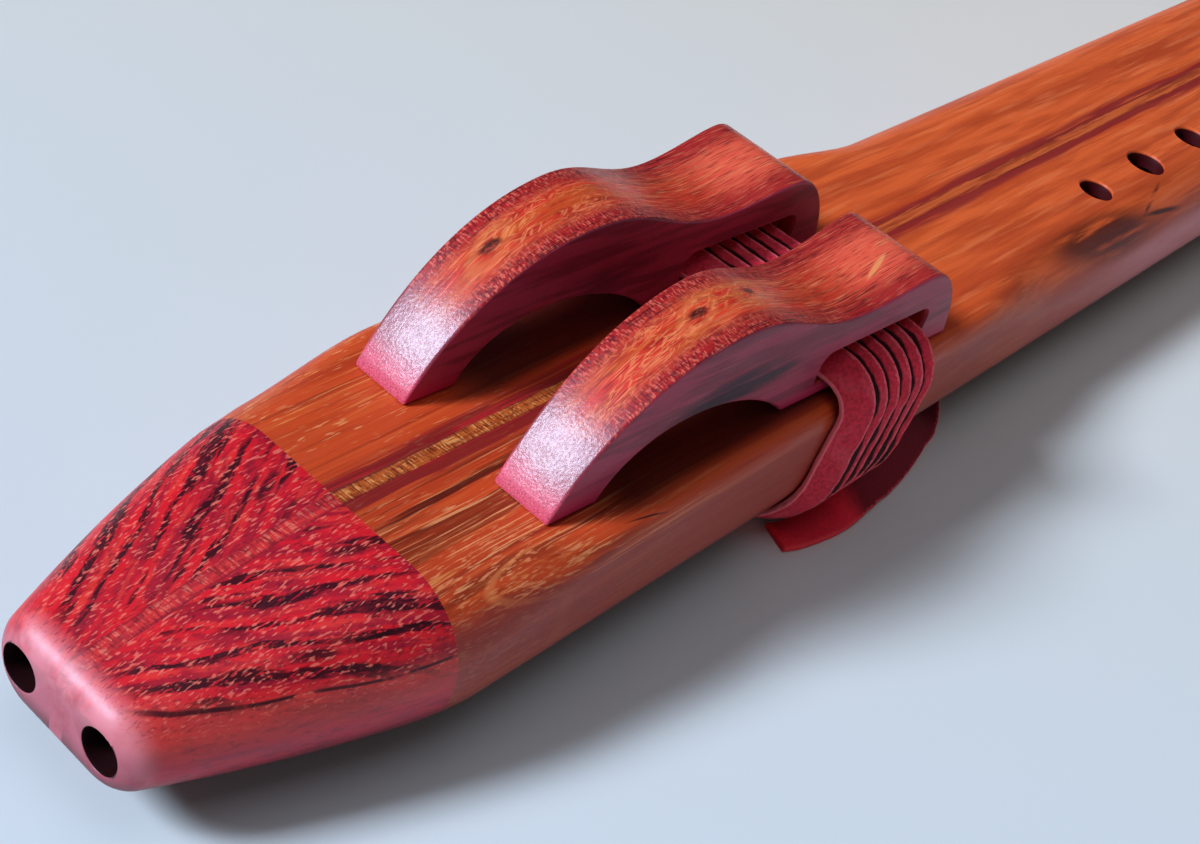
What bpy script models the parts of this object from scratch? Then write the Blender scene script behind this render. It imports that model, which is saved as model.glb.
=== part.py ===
"""A double flute of laminated hardwood, lying with its birds up and its mouth end towards -X.

Two bores lie side by side. The one on the -Y side has finger holes and plays the melody, and the one
on the +Y side has none and drones. Each half is an orange body with a red mouth cap glued to its end,
and a thin strip of the same wood is glued between the halves. A plug parts each bore into a slow air
chamber and a sounding bore, and a bird, the carved block, roofs the flue between them. One leather
lace winds round the body through both birds, and its loose end lies under the near side.
"""

import math

import bmesh
import bpy
import numpy as np

MM = 0.001

# Body: lengths are counted from the mouth end
LENGTH = 508 * MM
BODY_WIDTH = 68 * MM
BODY_DEPTH = 32 * MM
BOTTOM_RADIUS = 15 * MM
TUBE_TOP_RADIUS = 15 * MM
NEST_TOP_RADIUS = 4.5 * MM
NEST_BEHIND_TOE = 12.5 * MM
NEST_PAST_HEEL = 13.5 * MM
NEST_RUN_OUT = 41 * MM
FOOT_EASE = 1.2 * MM

# Mouth cap: where it is glued on, and how it narrows to the lips
CAP_LENGTH = 53.2 * MM
TIP_HALF_WIDTH = 16.5 * MM
TIP_TOP_DROP = 9.5 * MM
TIP_BOTTOM_RISE = 6 * MM
TIP_RADIUS = 11 * MM
TIP_ROUND = 3.5 * MM
FULL_WIDTH_AT = 60 * MM
FULL_DEPTH_AT = 50 * MM
PLAN_POWER = 1.4
DEPTH_POWER = 1.15

# Strip down the middle
STRIP_WIDTH = 3.2 * MM
GLUE_GAP = 0.3 * MM

# Air ways
BORE_PITCH = 36 * MM
BORE_DIAMETER = 24 * MM
BLOW_HOLE_DIAMETER = 9 * MM
BLOW_HOLE_PITCH = 20.2 * MM
BLOW_HOLE_DROP = 17.4 * MM
CHAMBER_EXIT_PAST_ARCH = 6.5 * MM
FLUE_WIDTH = 8 * MM
FLUE_DEPTH = 1.1 * MM
CHAMBER_EXIT_LENGTH = 7 * MM
SOUND_HOLE_PAST_HEEL = 2.5 * MM
SOUND_HOLE_LENGTH = 6 * MM
SPLIT_RAMP = 5 * MM
PLUG_PAST_EXIT = 7 * MM
PLUG_BEFORE_SOUND_HOLE = 5 * MM
FIRST_FINGER_HOLE = 292 * MM
FINGER_HOLE_STEP = 27.5 * MM
FINGER_HOLE_DIAMETERS = (8.5 * MM, 10 * MM, 9.5 * MM, 9.5 * MM, 10 * MM, 9 * MM)

# Birds: lengths are counted from the toe or back from the heel, heights from the seat
TOE_AT = 79.5 * MM
TOE_WIDTH = 13.3 * MM
HEEL_WIDTH = 25.6 * MM
BIRD_LENGTH = 120 * MM
TOE_EDGE = 0.8 * MM
HUMP_AT = 43 * MM
HUMP_HEIGHT = 27.2 * MM
SADDLE_BEFORE_HEEL = 38 * MM
SADDLE_HEIGHT = 17.9 * MM
TAIL_BEFORE_HEEL = 16 * MM
TAIL_HEIGHT = 19.5 * MM
ARCH_START = 12 * MM
ARCH_RISE = 17 * MM
ARCH_FALL = 13 * MM
ARCH_TO_SLOT = 8.8 * MM
SLOT_BEFORE_HEEL = 11.5 * MM
SLOT_LENGTH = 35.7 * MM
SLOT_ROOF_RADIUS = 3 * MM
SLOT_FLOOR_RADIUS = 0.6 * MM
SLOT_FLOOR = 2.8 * MM
SLOT_HEIGHT = 7.7 * MM
SEAT_GAP = 0.3 * MM

# Lace: wraps counted along the body, and the loose tail by the near side
LACE_WIDTH = 8 * MM
LACE_THICKNESS = 1.3 * MM
LACE_EDGE = 0.35 * MM
WRAP_COUNT = 6
FIRST_WRAP_INSET = 3.8 * MM
WRAP_PITCH = 4.4 * MM
WRAP_TILT = math.radians(25.5)
WRAP_SLANT = 8 * MM
WRAP_SLANT_POWER = 1.6
WRAP_GAP = 0.3 * MM
WRAP_BEND = 6 * MM
REST_CUT = 0.5 * MM
TAIL_REST_GAP = 0.1 * MM
TAIL_START_TILT = math.radians(22)
TAIL_START_HEIGHT = 2.2 * MM
TAIL_TURNS_FROM = 8 * MM
TAIL_FLAT_AFTER = 36 * MM
TAIL_POINT_STEP = 6 * MM

# Mesh steps
CORNER_STEPS = 6
TIP_STEPS = 4
CAP_STEPS = 8
BLEND_STEPS = 6
CURVE_STEPS = 8
BORE_SIDES = 32
HOLE_SIDES = 24
OVERCUT = 2 * MM

# Heights and places that follow from the sizes above
WRAP_HEIGHT = LACE_WIDTH * math.sin(WRAP_TILT) + LACE_THICKNESS * math.cos(WRAP_TILT)
BODY_BOTTOM = WRAP_GAP + WRAP_HEIGHT - REST_CUT
BODY_TOP = BODY_BOTTOM + BODY_DEPTH
BORE_HEIGHT = BODY_BOTTOM + BODY_DEPTH / 2
BLOW_HOLE_HEIGHT = BODY_TOP - BLOW_HOLE_DROP
SEAT = BODY_TOP + SEAT_GAP
HEEL_AT = TOE_AT + BIRD_LENGTH
NEST_START = TOE_AT + NEST_BEHIND_TOE
NEST_END = HEEL_AT + NEST_PAST_HEEL
SADDLE_AT = BIRD_LENGTH - SADDLE_BEFORE_HEEL
TAIL_AT = BIRD_LENGTH - TAIL_BEFORE_HEEL
SLOT_START = BIRD_LENGTH - SLOT_BEFORE_HEEL - SLOT_LENGTH
ARCH_END = SLOT_START - ARCH_TO_SLOT
CHAMBER_EXIT_AT = TOE_AT + ARCH_END + CHAMBER_EXIT_PAST_ARCH
SOUND_HOLE_AT = HEEL_AT + SOUND_HOLE_PAST_HEEL
PLUG_START = CHAMBER_EXIT_AT + PLUG_PAST_EXIT
PLUG_LENGTH = SOUND_HOLE_AT - PLUG_BEFORE_SOUND_HOLE - PLUG_START
FIRST_WRAP_AT = TOE_AT + SLOT_START + FIRST_WRAP_INSET
HALF_INNER = STRIP_WIDTH / 2 + GLUE_GAP
BODY_START = CAP_LENGTH + GLUE_GAP
WRAP_END_AT = FIRST_WRAP_AT + WRAP_PITCH * WRAP_COUNT - WRAP_SLANT
TAIL_HEIGHT_FLAT = TAIL_REST_GAP + LACE_THICKNESS / 2
DRONE, MELODY = 1, -1

# The tail's route, chosen by hand: along from the last wrap, across, and above the surface it lies on
TAIL_ROUTE = (
    (0.0, WRAP_GAP, TAIL_START_HEIGHT),
    (0.1 * MM, 4 * MM, TAIL_START_HEIGHT),
    (1.6 * MM, 9.5 * MM, TAIL_START_HEIGHT),
    (7.5 * MM, 16 * MM, 1.7 * MM),
    (17.5 * MM, 20.5 * MM, TAIL_HEIGHT_FLAT),
    (36.5 * MM, 21 * MM, TAIL_HEIGHT_FLAT),
    (55.5 * MM, 13 * MM, TAIL_HEIGHT_FLAT),
    (63.5 * MM, -2 * MM, TAIL_HEIGHT_FLAT),
    (59 * MM, -17 * MM, TAIL_HEIGHT_FLAT),
    (45.5 * MM, -27.5 * MM, TAIL_HEIGHT_FLAT),
    (30.5 * MM, -33 * MM, TAIL_HEIGHT_FLAT),
    (14.5 * MM, -36.2 * MM, TAIL_HEIGHT_FLAT),
    (-1.5 * MM, -36.6 * MM, TAIL_HEIGHT_FLAT),
    (-14 * MM, -35 * MM, TAIL_HEIGHT_FLAT),
    (-20 * MM, -33 * MM, TAIL_HEIGHT_FLAT),
)


def along(distance):
    """World X of a distance from the mouth end: the flute's middle stands on the origin."""
    return distance - LENGTH / 2


def smooth_step(value, start, end):
    share = min(max((value - start) / (end - start), 0.0), 1.0)
    return share * share * (3 - 2 * share)


def material(name, colour, roughness):
    made = bpy.data.materials.new(name)
    made.use_nodes = True
    shader = made.node_tree.nodes["Principled BSDF"]
    shader.inputs["Base Color"].default_value = (*colour, 1.0)
    shader.inputs["Roughness"].default_value = roughness
    shader.inputs["Metallic"].default_value = 0.0
    return made


def add_object(name, data, finish, place=(0.0, 0.0, 0.0)):
    data.materials.append(finish)
    made = bpy.data.objects.new(name, data)
    made.location = place
    bpy.context.scene.collection.objects.link(made)
    return made


def closed_mesh(name, rings):
    """A mesh through rings of points that match one to one, closed by a face at each end."""
    work = bmesh.new()
    rows = [[work.verts.new(point) for point in ring] for ring in rings]
    count = len(rows[0])
    for low, high in zip(rows, rows[1:]):
        for i in range(count):
            j = (i + 1) % count
            work.faces.new((low[i], low[j], high[j], high[i]))
    work.faces.new(rows[0])
    work.faces.new(rows[-1])
    bmesh.ops.recalc_face_normals(work, faces=work.faces)
    made = bpy.data.meshes.new(name)
    work.to_mesh(made)
    work.free()
    made.set_sharp_from_angle(angle=math.radians(30))
    return made


def cut_with(target, cutter_name, rings):
    """Takes the closed shape through these rings away from the target."""
    cutter = bpy.data.objects.new(cutter_name, closed_mesh(cutter_name, rings))
    cutter.hide_render = True
    cutter.display_type = "WIRE"
    bpy.context.scene.collection.objects.link(cutter)
    step = target.modifiers.new(cutter_name, "BOOLEAN")
    step.operation = "DIFFERENCE"
    step.solver = "EXACT"
    step.object = cutter


def circle_rings(start, end, diameter, sides):
    """Two rings of a round rod between two points that differ along X or along Z."""
    angles = [2 * math.pi * (i + 0.5) / sides for i in range(sides)]
    turns = [(diameter / 2 * math.cos(a), diameter / 2 * math.sin(a)) for a in angles]
    if start[0] != end[0]:
        return [[(x, y + u, z + v) for u, v in turns] for x, y, z in (start, end)]
    return [[(x + u, y + v, z) for u, v in turns] for x, y, z in (start, end)]


def box_rings(x_span, y_span, z_span):
    (x0, x1), (y0, y1), (z0, z1) = x_span, y_span, z_span
    return [[(x, y0, z0), (x, y1, z0), (x, y1, z1), (x, y0, z1)] for x in (x0, x1)]


# Outer shape of the body and the mouth cap


def tip_inset(distance):
    """How far the rounded lip end stands in from the straight shape."""
    if distance >= TIP_ROUND:
        return 0.0
    left = TIP_ROUND - distance
    return TIP_ROUND - math.sqrt(TIP_ROUND**2 - left**2)


def foot_inset(distance):
    return max(0.0, distance - (LENGTH - FOOT_EASE))


def half_width(distance):
    share = max(0.0, 1 - distance / FULL_WIDTH_AT)
    narrow = (BODY_WIDTH / 2 - TIP_HALF_WIDTH) * share**PLAN_POWER
    return BODY_WIDTH / 2 - narrow - tip_inset(distance) - foot_inset(distance)


def top_height(distance):
    share = max(0.0, 1 - distance / FULL_DEPTH_AT)
    drop = TIP_TOP_DROP * share**DEPTH_POWER
    return BODY_TOP - drop - tip_inset(distance) - foot_inset(distance)


def bottom_height(distance):
    share = max(0.0, 1 - distance / FULL_DEPTH_AT)
    rise = TIP_BOTTOM_RISE * share**DEPTH_POWER
    return BODY_BOTTOM + rise + tip_inset(distance) + foot_inset(distance)


def top_radius(distance):
    """Wide round edges on the cap and the tube, and nearly square ones where the birds nest."""
    if distance < CAP_LENGTH:
        grow = smooth_step(distance, 0.0, CAP_LENGTH)
        return TIP_RADIUS + (TUBE_TOP_RADIUS - TIP_RADIUS) * grow
    squared = smooth_step(distance, CAP_LENGTH, NEST_START)
    squared -= smooth_step(distance, NEST_END, NEST_END + NEST_RUN_OUT)
    return TUBE_TOP_RADIUS + (NEST_TOP_RADIUS - TUBE_TOP_RADIUS) * squared


def bottom_radius(distance):
    grow = smooth_step(distance, 0.0, CAP_LENGTH)
    return TIP_RADIUS + (BOTTOM_RADIUS - TIP_RADIUS) * grow


def half_ring(distance, side):
    """One half's section: flat inside, rounded at the outer edges."""
    outer = half_width(distance)
    bottom, top = bottom_height(distance), top_height(distance)
    room = min((top - bottom) / 2, outer - HALF_INNER) * 0.98
    low, high = min(bottom_radius(distance), room), min(top_radius(distance), room)
    points = [(HALF_INNER, top), (HALF_INNER, bottom)]
    for i in range(CORNER_STEPS + 1):
        angle = math.pi / 2 * i / CORNER_STEPS
        points.append((outer - low + low * math.sin(angle), bottom + low - low * math.cos(angle)))
    for i in range(CORNER_STEPS + 1):
        angle = math.pi / 2 * i / CORNER_STEPS
        points.append((outer - high + high * math.cos(angle), top - high + high * math.sin(angle)))
    return [(along(distance), side * y, z) for y, z in points]


def strip_ring(distance):
    bottom, top = bottom_height(distance), top_height(distance)
    edge = STRIP_WIDTH / 2
    section = ((-edge, bottom), (edge, bottom), (edge, top), (-edge, top))
    return [(along(distance), y, z) for y, z in section]


def spread(start, end, steps):
    return [start + (end - start) * i / steps for i in range(steps + 1)]


def cap_stations():
    lip = [TIP_ROUND * (1 - math.cos(math.pi / 2 * i / TIP_STEPS)) for i in range(TIP_STEPS)]
    return lip + spread(TIP_ROUND, CAP_LENGTH, CAP_STEPS)


def body_stations():
    mouth_side = spread(BODY_START, NEST_START, BLEND_STEPS)
    foot_side = spread(NEST_END, NEST_END + NEST_RUN_OUT, BLEND_STEPS)
    return mouth_side + foot_side + [LENGTH - FOOT_EASE, LENGTH]


def make_cap(name, side, finish):
    rings = [half_ring(d, side) for d in cap_stations()]
    cap = add_object(name, closed_mesh(name, rings), finish)
    y = side * BLOW_HOLE_PITCH / 2
    start = (along(-OVERCUT), y, BLOW_HOLE_HEIGHT)
    end = (along(CAP_LENGTH + OVERCUT), y, BLOW_HOLE_HEIGHT)
    cut_with(cap, f"{name}_blow_hole", circle_rings(start, end, BLOW_HOLE_DIAMETER, HOLE_SIDES))


def make_body(name, side, finish):
    rings = [half_ring(d, side) for d in body_stations()]
    body = add_object(name, closed_mesh(name, rings), finish)
    y = side * BORE_PITCH / 2
    start = (along(BODY_START - OVERCUT), y, BORE_HEIGHT)
    end = (along(LENGTH + OVERCUT), y, BORE_HEIGHT)
    cut_with(body, f"{name}_bore", circle_rings(start, end, BORE_DIAMETER, BORE_SIDES))
    across = (y - FLUE_WIDTH / 2, y + FLUE_WIDTH / 2)
    above = BODY_TOP + OVERCUT
    exit_span = (along(CHAMBER_EXIT_AT - CHAMBER_EXIT_LENGTH), along(CHAMBER_EXIT_AT))
    cut_with(body, f"{name}_chamber_exit", box_rings(exit_span, across, (BORE_HEIGHT, above)))
    flue_span = (along(CHAMBER_EXIT_AT - OVERCUT), along(SOUND_HOLE_AT + OVERCUT))
    cut_with(body, f"{name}_flue", box_rings(flue_span, across, (BODY_TOP - FLUE_DEPTH, above)))
    cut_with(body, f"{name}_sound_hole", sound_hole_rings(across, above))
    return body


def sound_hole_rings(across, above):
    """The true sound hole, whose far wall slopes up to the splitting edge."""
    start, far = along(SOUND_HOLE_AT), along(SOUND_HOLE_AT + SOUND_HOLE_LENGTH)
    section = (
        (start, BORE_HEIGHT),
        (far, BORE_HEIGHT),
        (far, BODY_TOP - FLUE_DEPTH),
        (far + SPLIT_RAMP, BODY_TOP),
        (far + SPLIT_RAMP, above),
        (start, above),
    )
    return [[(x, y, z) for x, z in section] for y in across]


def cut_finger_holes(body, side):
    for i, diameter in enumerate(FINGER_HOLE_DIAMETERS):
        x = along(FIRST_FINGER_HOLE + i * FINGER_HOLE_STEP)
        y = side * BORE_PITCH / 2
        rings = circle_rings((x, y, BORE_HEIGHT), (x, y, BODY_TOP + OVERCUT), diameter, HOLE_SIDES)
        cut_with(body, f"finger_hole_{i + 1}", rings)


def make_strip(name, stations, finish):
    add_object(name, closed_mesh(name, [strip_ring(d) for d in stations]), finish)


def make_plug(name, side, finish):
    y = side * BORE_PITCH / 2
    start = (along(PLUG_START), y, BORE_HEIGHT)
    end = (along(PLUG_START + PLUG_LENGTH), y, BORE_HEIGHT)
    rings = circle_rings(start, end, BORE_DIAMETER - 2 * GLUE_GAP, BORE_SIDES)
    add_object(name, closed_mesh(name, rings), finish)


# Birds


def cubic(start, first, second, end, steps=CURVE_STEPS):
    """Points of a cubic curve from its start up to, and without, its end."""
    points = []
    for i in range(steps):
        t = i / steps
        shares = ((1 - t) ** 3, 3 * t * (1 - t) ** 2, 3 * t * t * (1 - t), t**3)
        handles = (start, first, second, end)
        points.append(tuple(sum(s * h[k] for s, h in zip(shares, handles)) for k in (0, 1)))
    return points


def bird_outline():
    """Side view from the toe: the arch under the breast, the flat seat, the tail, saddle and hump."""
    toe_top = (0.0, TOE_EDGE)
    hump, saddle = (HUMP_AT, HUMP_HEIGHT), (SADDLE_AT, SADDLE_HEIGHT)
    tail, heel = (TAIL_AT, TAIL_HEIGHT), (BIRD_LENGTH, 0.0)
    arch = cubic(
        (ARCH_START, 0.0),
        (ARCH_START + 0.14 * (ARCH_END - ARCH_START), ARCH_RISE),
        (ARCH_END - 0.27 * (ARCH_END - ARCH_START), ARCH_FALL),
        (ARCH_END, 0.0),
    )
    end = cubic(
        heel,
        (BIRD_LENGTH - 0.08 * TAIL_HEIGHT, 0.55 * TAIL_HEIGHT),
        (TAIL_AT + 0.5 * (BIRD_LENGTH - TAIL_AT), TAIL_HEIGHT),
        tail,
    )
    dip, neck = TAIL_AT - SADDLE_AT, SADDLE_AT - HUMP_AT
    back_start, back_end = TAIL_AT - 0.32 * dip, SADDLE_AT + 0.41 * dip
    back = cubic(tail, (back_start, TAIL_HEIGHT), (back_end, SADDLE_HEIGHT), saddle)
    nape_start, nape_end = SADDLE_AT - 0.41 * neck, HUMP_AT + 0.36 * neck
    nape = cubic(saddle, (nape_start, SADDLE_HEIGHT), (nape_end, HUMP_HEIGHT), hump)
    breast = cubic(hump, (0.51 * HUMP_AT, HUMP_HEIGHT), (0.186 * HUMP_AT, 0.6 * HUMP_HEIGHT), toe_top)
    return [(0.0, 0.0)] + arch + [(ARCH_END, 0.0)] + end + back + nape + breast + [toe_top]


def bird_half_width(distance):
    return (TOE_WIDTH + (HEEL_WIDTH - TOE_WIDTH) * distance / BIRD_LENGTH) / 2


def slot_outline():
    """A slot for the lace: rounded at its roof, nearly square at its floor."""
    low, high = SLOT_FLOOR_RADIUS, SLOT_ROOF_RADIUS
    end, roof = SLOT_START + SLOT_LENGTH, SLOT_FLOOR + SLOT_HEIGHT
    corners = (
        (end - low, SLOT_FLOOR + low, low, -1),
        (end - high, roof - high, high, 0),
        (SLOT_START + high, roof - high, high, 1),
        (SLOT_START + low, SLOT_FLOOR + low, low, 2),
    )
    points = []
    for x, z, radius, quarter in corners:
        for i in range(CORNER_STEPS):
            angle = math.pi / 2 * (quarter + i / (CORNER_STEPS - 1))
            points.append((x + radius * math.cos(angle), z + radius * math.sin(angle)))
    return points


def make_bird(name, side, finish):
    """The bird's origin is under its toe, on the line that it slides along."""
    place = (along(TOE_AT), side * BORE_PITCH / 2, SEAT)
    outline = bird_outline()
    rings = [[(x, s * bird_half_width(x), z) for x, z in outline] for s in (-1, 1)]
    bird = add_object(name, closed_mesh(name, rings), finish, place)
    reach = HEEL_WIDTH / 2 + OVERCUT
    slot = [
        [(place[0] + x, place[1] + y, place[2] + z) for x, z in slot_outline()] for y in (-reach, reach)
    ]
    cut_with(bird, f"{name}_slot", slot)


# Lace


def wrap_rail():
    """One turn's inner line round the body and through the birds: across, height and facing angle."""
    low_radius, low_y = BOTTOM_RADIUS + WRAP_GAP, BODY_WIDTH / 2 - BOTTOM_RADIUS
    low_z = BODY_BOTTOM + BOTTOM_RADIUS
    high_y = BODY_WIDTH / 2 + WRAP_GAP - WRAP_BEND
    high_z = SEAT + SLOT_FLOOR + WRAP_GAP - WRAP_BEND
    corners = ((low_y, low_z, low_radius, -1), (high_y, high_z, WRAP_BEND, 0))
    corners += ((-high_y, high_z, WRAP_BEND, 1), (-low_y, low_z, low_radius, 2))
    rail = [(0.0, BODY_BOTTOM - WRAP_GAP, -math.pi / 2)]
    for y, z, radius, quarter in corners:
        for i in range(CORNER_STEPS):
            angle = math.pi / 2 * (quarter + i / (CORNER_STEPS - 1))
            rail.append((y + radius * math.cos(angle), z + radius * math.sin(angle), angle))
    return rail


def wrap_line():
    """The middle of the lace through all its turns, with the way each point faces."""
    rail = wrap_rail()
    steps = [math.dist(a[:2], b[:2]) for a, b in zip(rail, rail[1:] + rail[:1])]
    around = np.cumsum([0.0] + steps)
    low, high = min(z for _, z, _ in rail), max(z for _, z, _ in rail)
    line = []
    for turn in range(WRAP_COUNT):
        for (y, z, angle), run in zip(rail, around):
            line.append((turn + run / around[-1], y, z, angle))
    line.append((WRAP_COUNT, *rail[0]))
    middles, facings = [], []
    for turns, y, z, angle in line:
        slant = WRAP_SLANT * ((high - z) / (high - low)) ** WRAP_SLANT_POWER
        facing = np.array((0.0, math.cos(angle), math.sin(angle)))
        rail_point = np.array((along(FIRST_WRAP_AT + WRAP_PITCH * turns - slant), y, z))
        middles.append(rail_point + facing * WRAP_HEIGHT / 2)
        facings.append(facing)
    return np.array(middles), np.array(facings)


def lace_section():
    """The flat lace's outline with eased edges: distances along its width and its thickness."""
    w, t, e = LACE_WIDTH / 2, LACE_THICKNESS / 2, LACE_EDGE
    corners = ((w, t - e), (w - e, t), (-w + e, t), (-w, t - e))
    return corners + tuple((-a, -b) for a, b in corners)


def wrap_rings():
    """Each wrap tilts, so that its foot side rides up on the next wrap as a shingle does."""
    middles, facings = wrap_line()
    tangents = np.gradient(middles, axis=0)
    tangents /= np.linalg.norm(tangents, axis=1)[:, None]
    rings = []
    for middle, facing, tangent in zip(middles, facings, tangents):
        outward = facing - tangent * (facing @ tangent)
        outward /= np.linalg.norm(outward)
        side = np.cross(outward, tangent)
        side *= math.copysign(1.0, side[0])
        wide = side * math.cos(WRAP_TILT) + outward * math.sin(WRAP_TILT)
        thick = outward * math.cos(WRAP_TILT) - side * math.sin(WRAP_TILT)
        rings.append(np.array([middle + wide * a + thick * b for a, b in lace_section()]))
    return rings


def least_wrap_gap(rings, fine=6):
    """The least distance between points of one turn's skin and of the next turn's."""
    per_turn = (len(rings) - 1) // WRAP_COUNT
    shares = np.arange(fine)[:, None, None] / fine
    skins = []
    for low, high in zip(rings, rings[1:]):
        run = low + (high - low) * shares
        nexts = np.roll(run, -1, axis=1)
        skins.append((run[:, :, None] + (nexts - run)[:, :, None] * shares[:, 0]).reshape(-1, 3))
    least = math.inf
    for i in range(len(skins) - per_turn + 1):
        for j in range(max(i + per_turn - 1, 0), min(i + per_turn + 2, len(skins))):
            apart = skins[i][:, None] - skins[j][None]
            least = min(least, float(np.sqrt((apart**2).sum(axis=2)).min()))
    return least


def make_wraps(name, finish):
    rings = wrap_rings()
    wraps = add_object(name, closed_mesh(name, [[tuple(p) for p in ring] for ring in rings]), finish)
    print(f"{name}: least gap between turns {least_wrap_gap(rings) / MM:.2f} mm")
    reach = (-BODY_WIDTH, BODY_WIDTH)
    under = box_rings((along(0.0), along(LENGTH)), reach, (-WRAP_HEIGHT - OVERCUT, 0.0))
    cut_with(wraps, f"{name}_rest_cut", under)


def smooth_route(route, step):
    """Points evenly spread along a smooth curve through the route's own points."""
    route = np.array(route)
    ends = np.vstack((2 * route[0] - route[1], route, 2 * route[-1] - route[-2]))
    fine = []
    for a, b, c, d in zip(ends, ends[1:], ends[2:], ends[3:]):
        for t in np.linspace(0.0, 1.0, 20, endpoint=False):
            bend = (2 * a - 5 * b + 4 * c - d) * t * t + (3 * b - a - 3 * c + d) * t**3
            fine.append(0.5 * (2 * b + (c - a) * t + bend))
    fine = np.array(fine + [route[-1]])
    run = np.concatenate(([0.0], np.cumsum(np.linalg.norm(np.diff(fine, axis=0), axis=1))))
    marks = np.linspace(0.0, run[-1], round(run[-1] / step) + 1)
    return np.stack([np.interp(marks, run, fine[:, k]) for k in range(3)], axis=1), marks


def make_tail(name, finish):
    """The loose end leaves the last wrap under the body, comes out by the near side and tucks back in."""
    line, marks = smooth_route(TAIL_ROUTE, TAIL_POINT_STEP)
    print(f"{name}: {marks[-1] / MM:.1f} mm long")
    curve = bpy.data.curves.new(name, "CURVE")
    curve.dimensions = "3D"
    curve.twist_mode = "Z_UP"
    curve.extrude = (LACE_WIDTH - LACE_THICKNESS) / 2
    curve.bevel_depth = LACE_THICKNESS / 2
    curve.bevel_resolution = 1
    curve.use_fill_caps = True
    spline = curve.splines.new("POLY")
    spline.points.add(len(line) - 1)
    for point, (x, y, z), mark in zip(spline.points, line, marks):
        point.co = (along(WRAP_END_AT + x), y, z, 1.0)
        flat = smooth_step(mark, TAIL_TURNS_FROM, TAIL_FLAT_AFTER)
        point.tilt = math.pi / 2 + TAIL_START_TILT * (1 - flat)
    add_object(name, curve, finish)


def main():
    for old in list(bpy.data.objects):
        bpy.data.objects.remove(old, do_unlink=True)
    orange_wood = material("oiled orange hardwood", (0.45, 0.10, 0.025), 0.42)
    red_wood = material("oiled red hardwood", (0.36, 0.025, 0.03), 0.40)
    orange_strip = material("figured orange strip", (0.50, 0.17, 0.06), 0.42)
    red_strip = material("figured red strip", (0.42, 0.05, 0.04), 0.42)
    plug_wood = material("plain plug wood", (0.42, 0.22, 0.10), 0.60)
    leather = material("crimson suede", (0.30, 0.018, 0.025), 0.85)
    make_body("drone_body", DRONE, orange_wood)
    melody_body = make_body("melody_body", MELODY, orange_wood)
    cut_finger_holes(melody_body, MELODY)
    make_strip("cap_strip", cap_stations(), red_strip)
    make_strip("body_strip", body_stations(), orange_strip)
    for word, side in (("drone", DRONE), ("melody", MELODY)):
        make_cap(f"{word}_mouth_cap", side, red_wood)
        make_plug(f"{word}_bore_plug", side, plug_wood)
        make_bird(f"{word}_bird", side, red_wood)
    make_wraps("lacing_wraps", leather)
    make_tail("lacing_tail", leather)


main()
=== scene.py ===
"""A double flute of oiled hardwood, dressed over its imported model: mouth end to -X, birds up.

Each wooden piece is built again in finer steps, with eased edges and flared holes. The lace is swept
along the line that it winds by one node tree. Every material is built of nodes that read real sizes.
"""

import math

import bmesh
import bpy
import numpy as np
from mathutils import Matrix, Vector


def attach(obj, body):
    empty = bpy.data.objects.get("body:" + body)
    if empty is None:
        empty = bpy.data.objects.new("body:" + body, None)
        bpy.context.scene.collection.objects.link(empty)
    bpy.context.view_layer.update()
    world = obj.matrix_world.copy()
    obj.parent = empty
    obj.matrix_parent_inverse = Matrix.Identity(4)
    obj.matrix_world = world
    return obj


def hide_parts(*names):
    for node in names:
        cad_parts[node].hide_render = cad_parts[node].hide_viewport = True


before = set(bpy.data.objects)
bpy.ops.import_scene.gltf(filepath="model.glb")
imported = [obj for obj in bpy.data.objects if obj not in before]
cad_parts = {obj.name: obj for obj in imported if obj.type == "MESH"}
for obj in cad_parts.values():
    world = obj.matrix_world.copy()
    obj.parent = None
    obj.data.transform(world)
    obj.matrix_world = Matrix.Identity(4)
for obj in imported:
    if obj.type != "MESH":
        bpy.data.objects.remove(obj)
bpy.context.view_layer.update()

MM = 0.001

# Body and mouth cap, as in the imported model: lengths are counted from the mouth end
LENGTH = 508 * MM
BODY_WIDTH = 68 * MM
BODY_BOTTOM = 4.417449 * MM
BODY_TOP = BODY_BOTTOM + 32 * MM
TUBE_RADIUS = 15 * MM
NEST_TOP_RADIUS = 4.5 * MM
NEST_START = 92 * MM
NEST_MIDDLE = 150 * MM
NEST_END = 213 * MM
NEST_RUN_OUT = 41 * MM
FOOT_EASE = 1.2 * MM
JOINT_AT = 53.35 * MM
TIP_HALF_WIDTH = 16.5 * MM
TIP_TOP_DROP = 9.5 * MM
TIP_BOTTOM_RISE = 6 * MM
TIP_RADIUS = 11 * MM
TIP_ROUND = 3.5 * MM
FULL_WIDTH_AT = 60 * MM
FULL_DEPTH_AT = 50 * MM
PLAN_POWER = 1.4
DEPTH_POWER = 1.15
ROUND_LEAD = 0.3 * MM
FULLEST_ROUND = 0.98
STRIP_EDGE = 1.6 * MM

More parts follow.
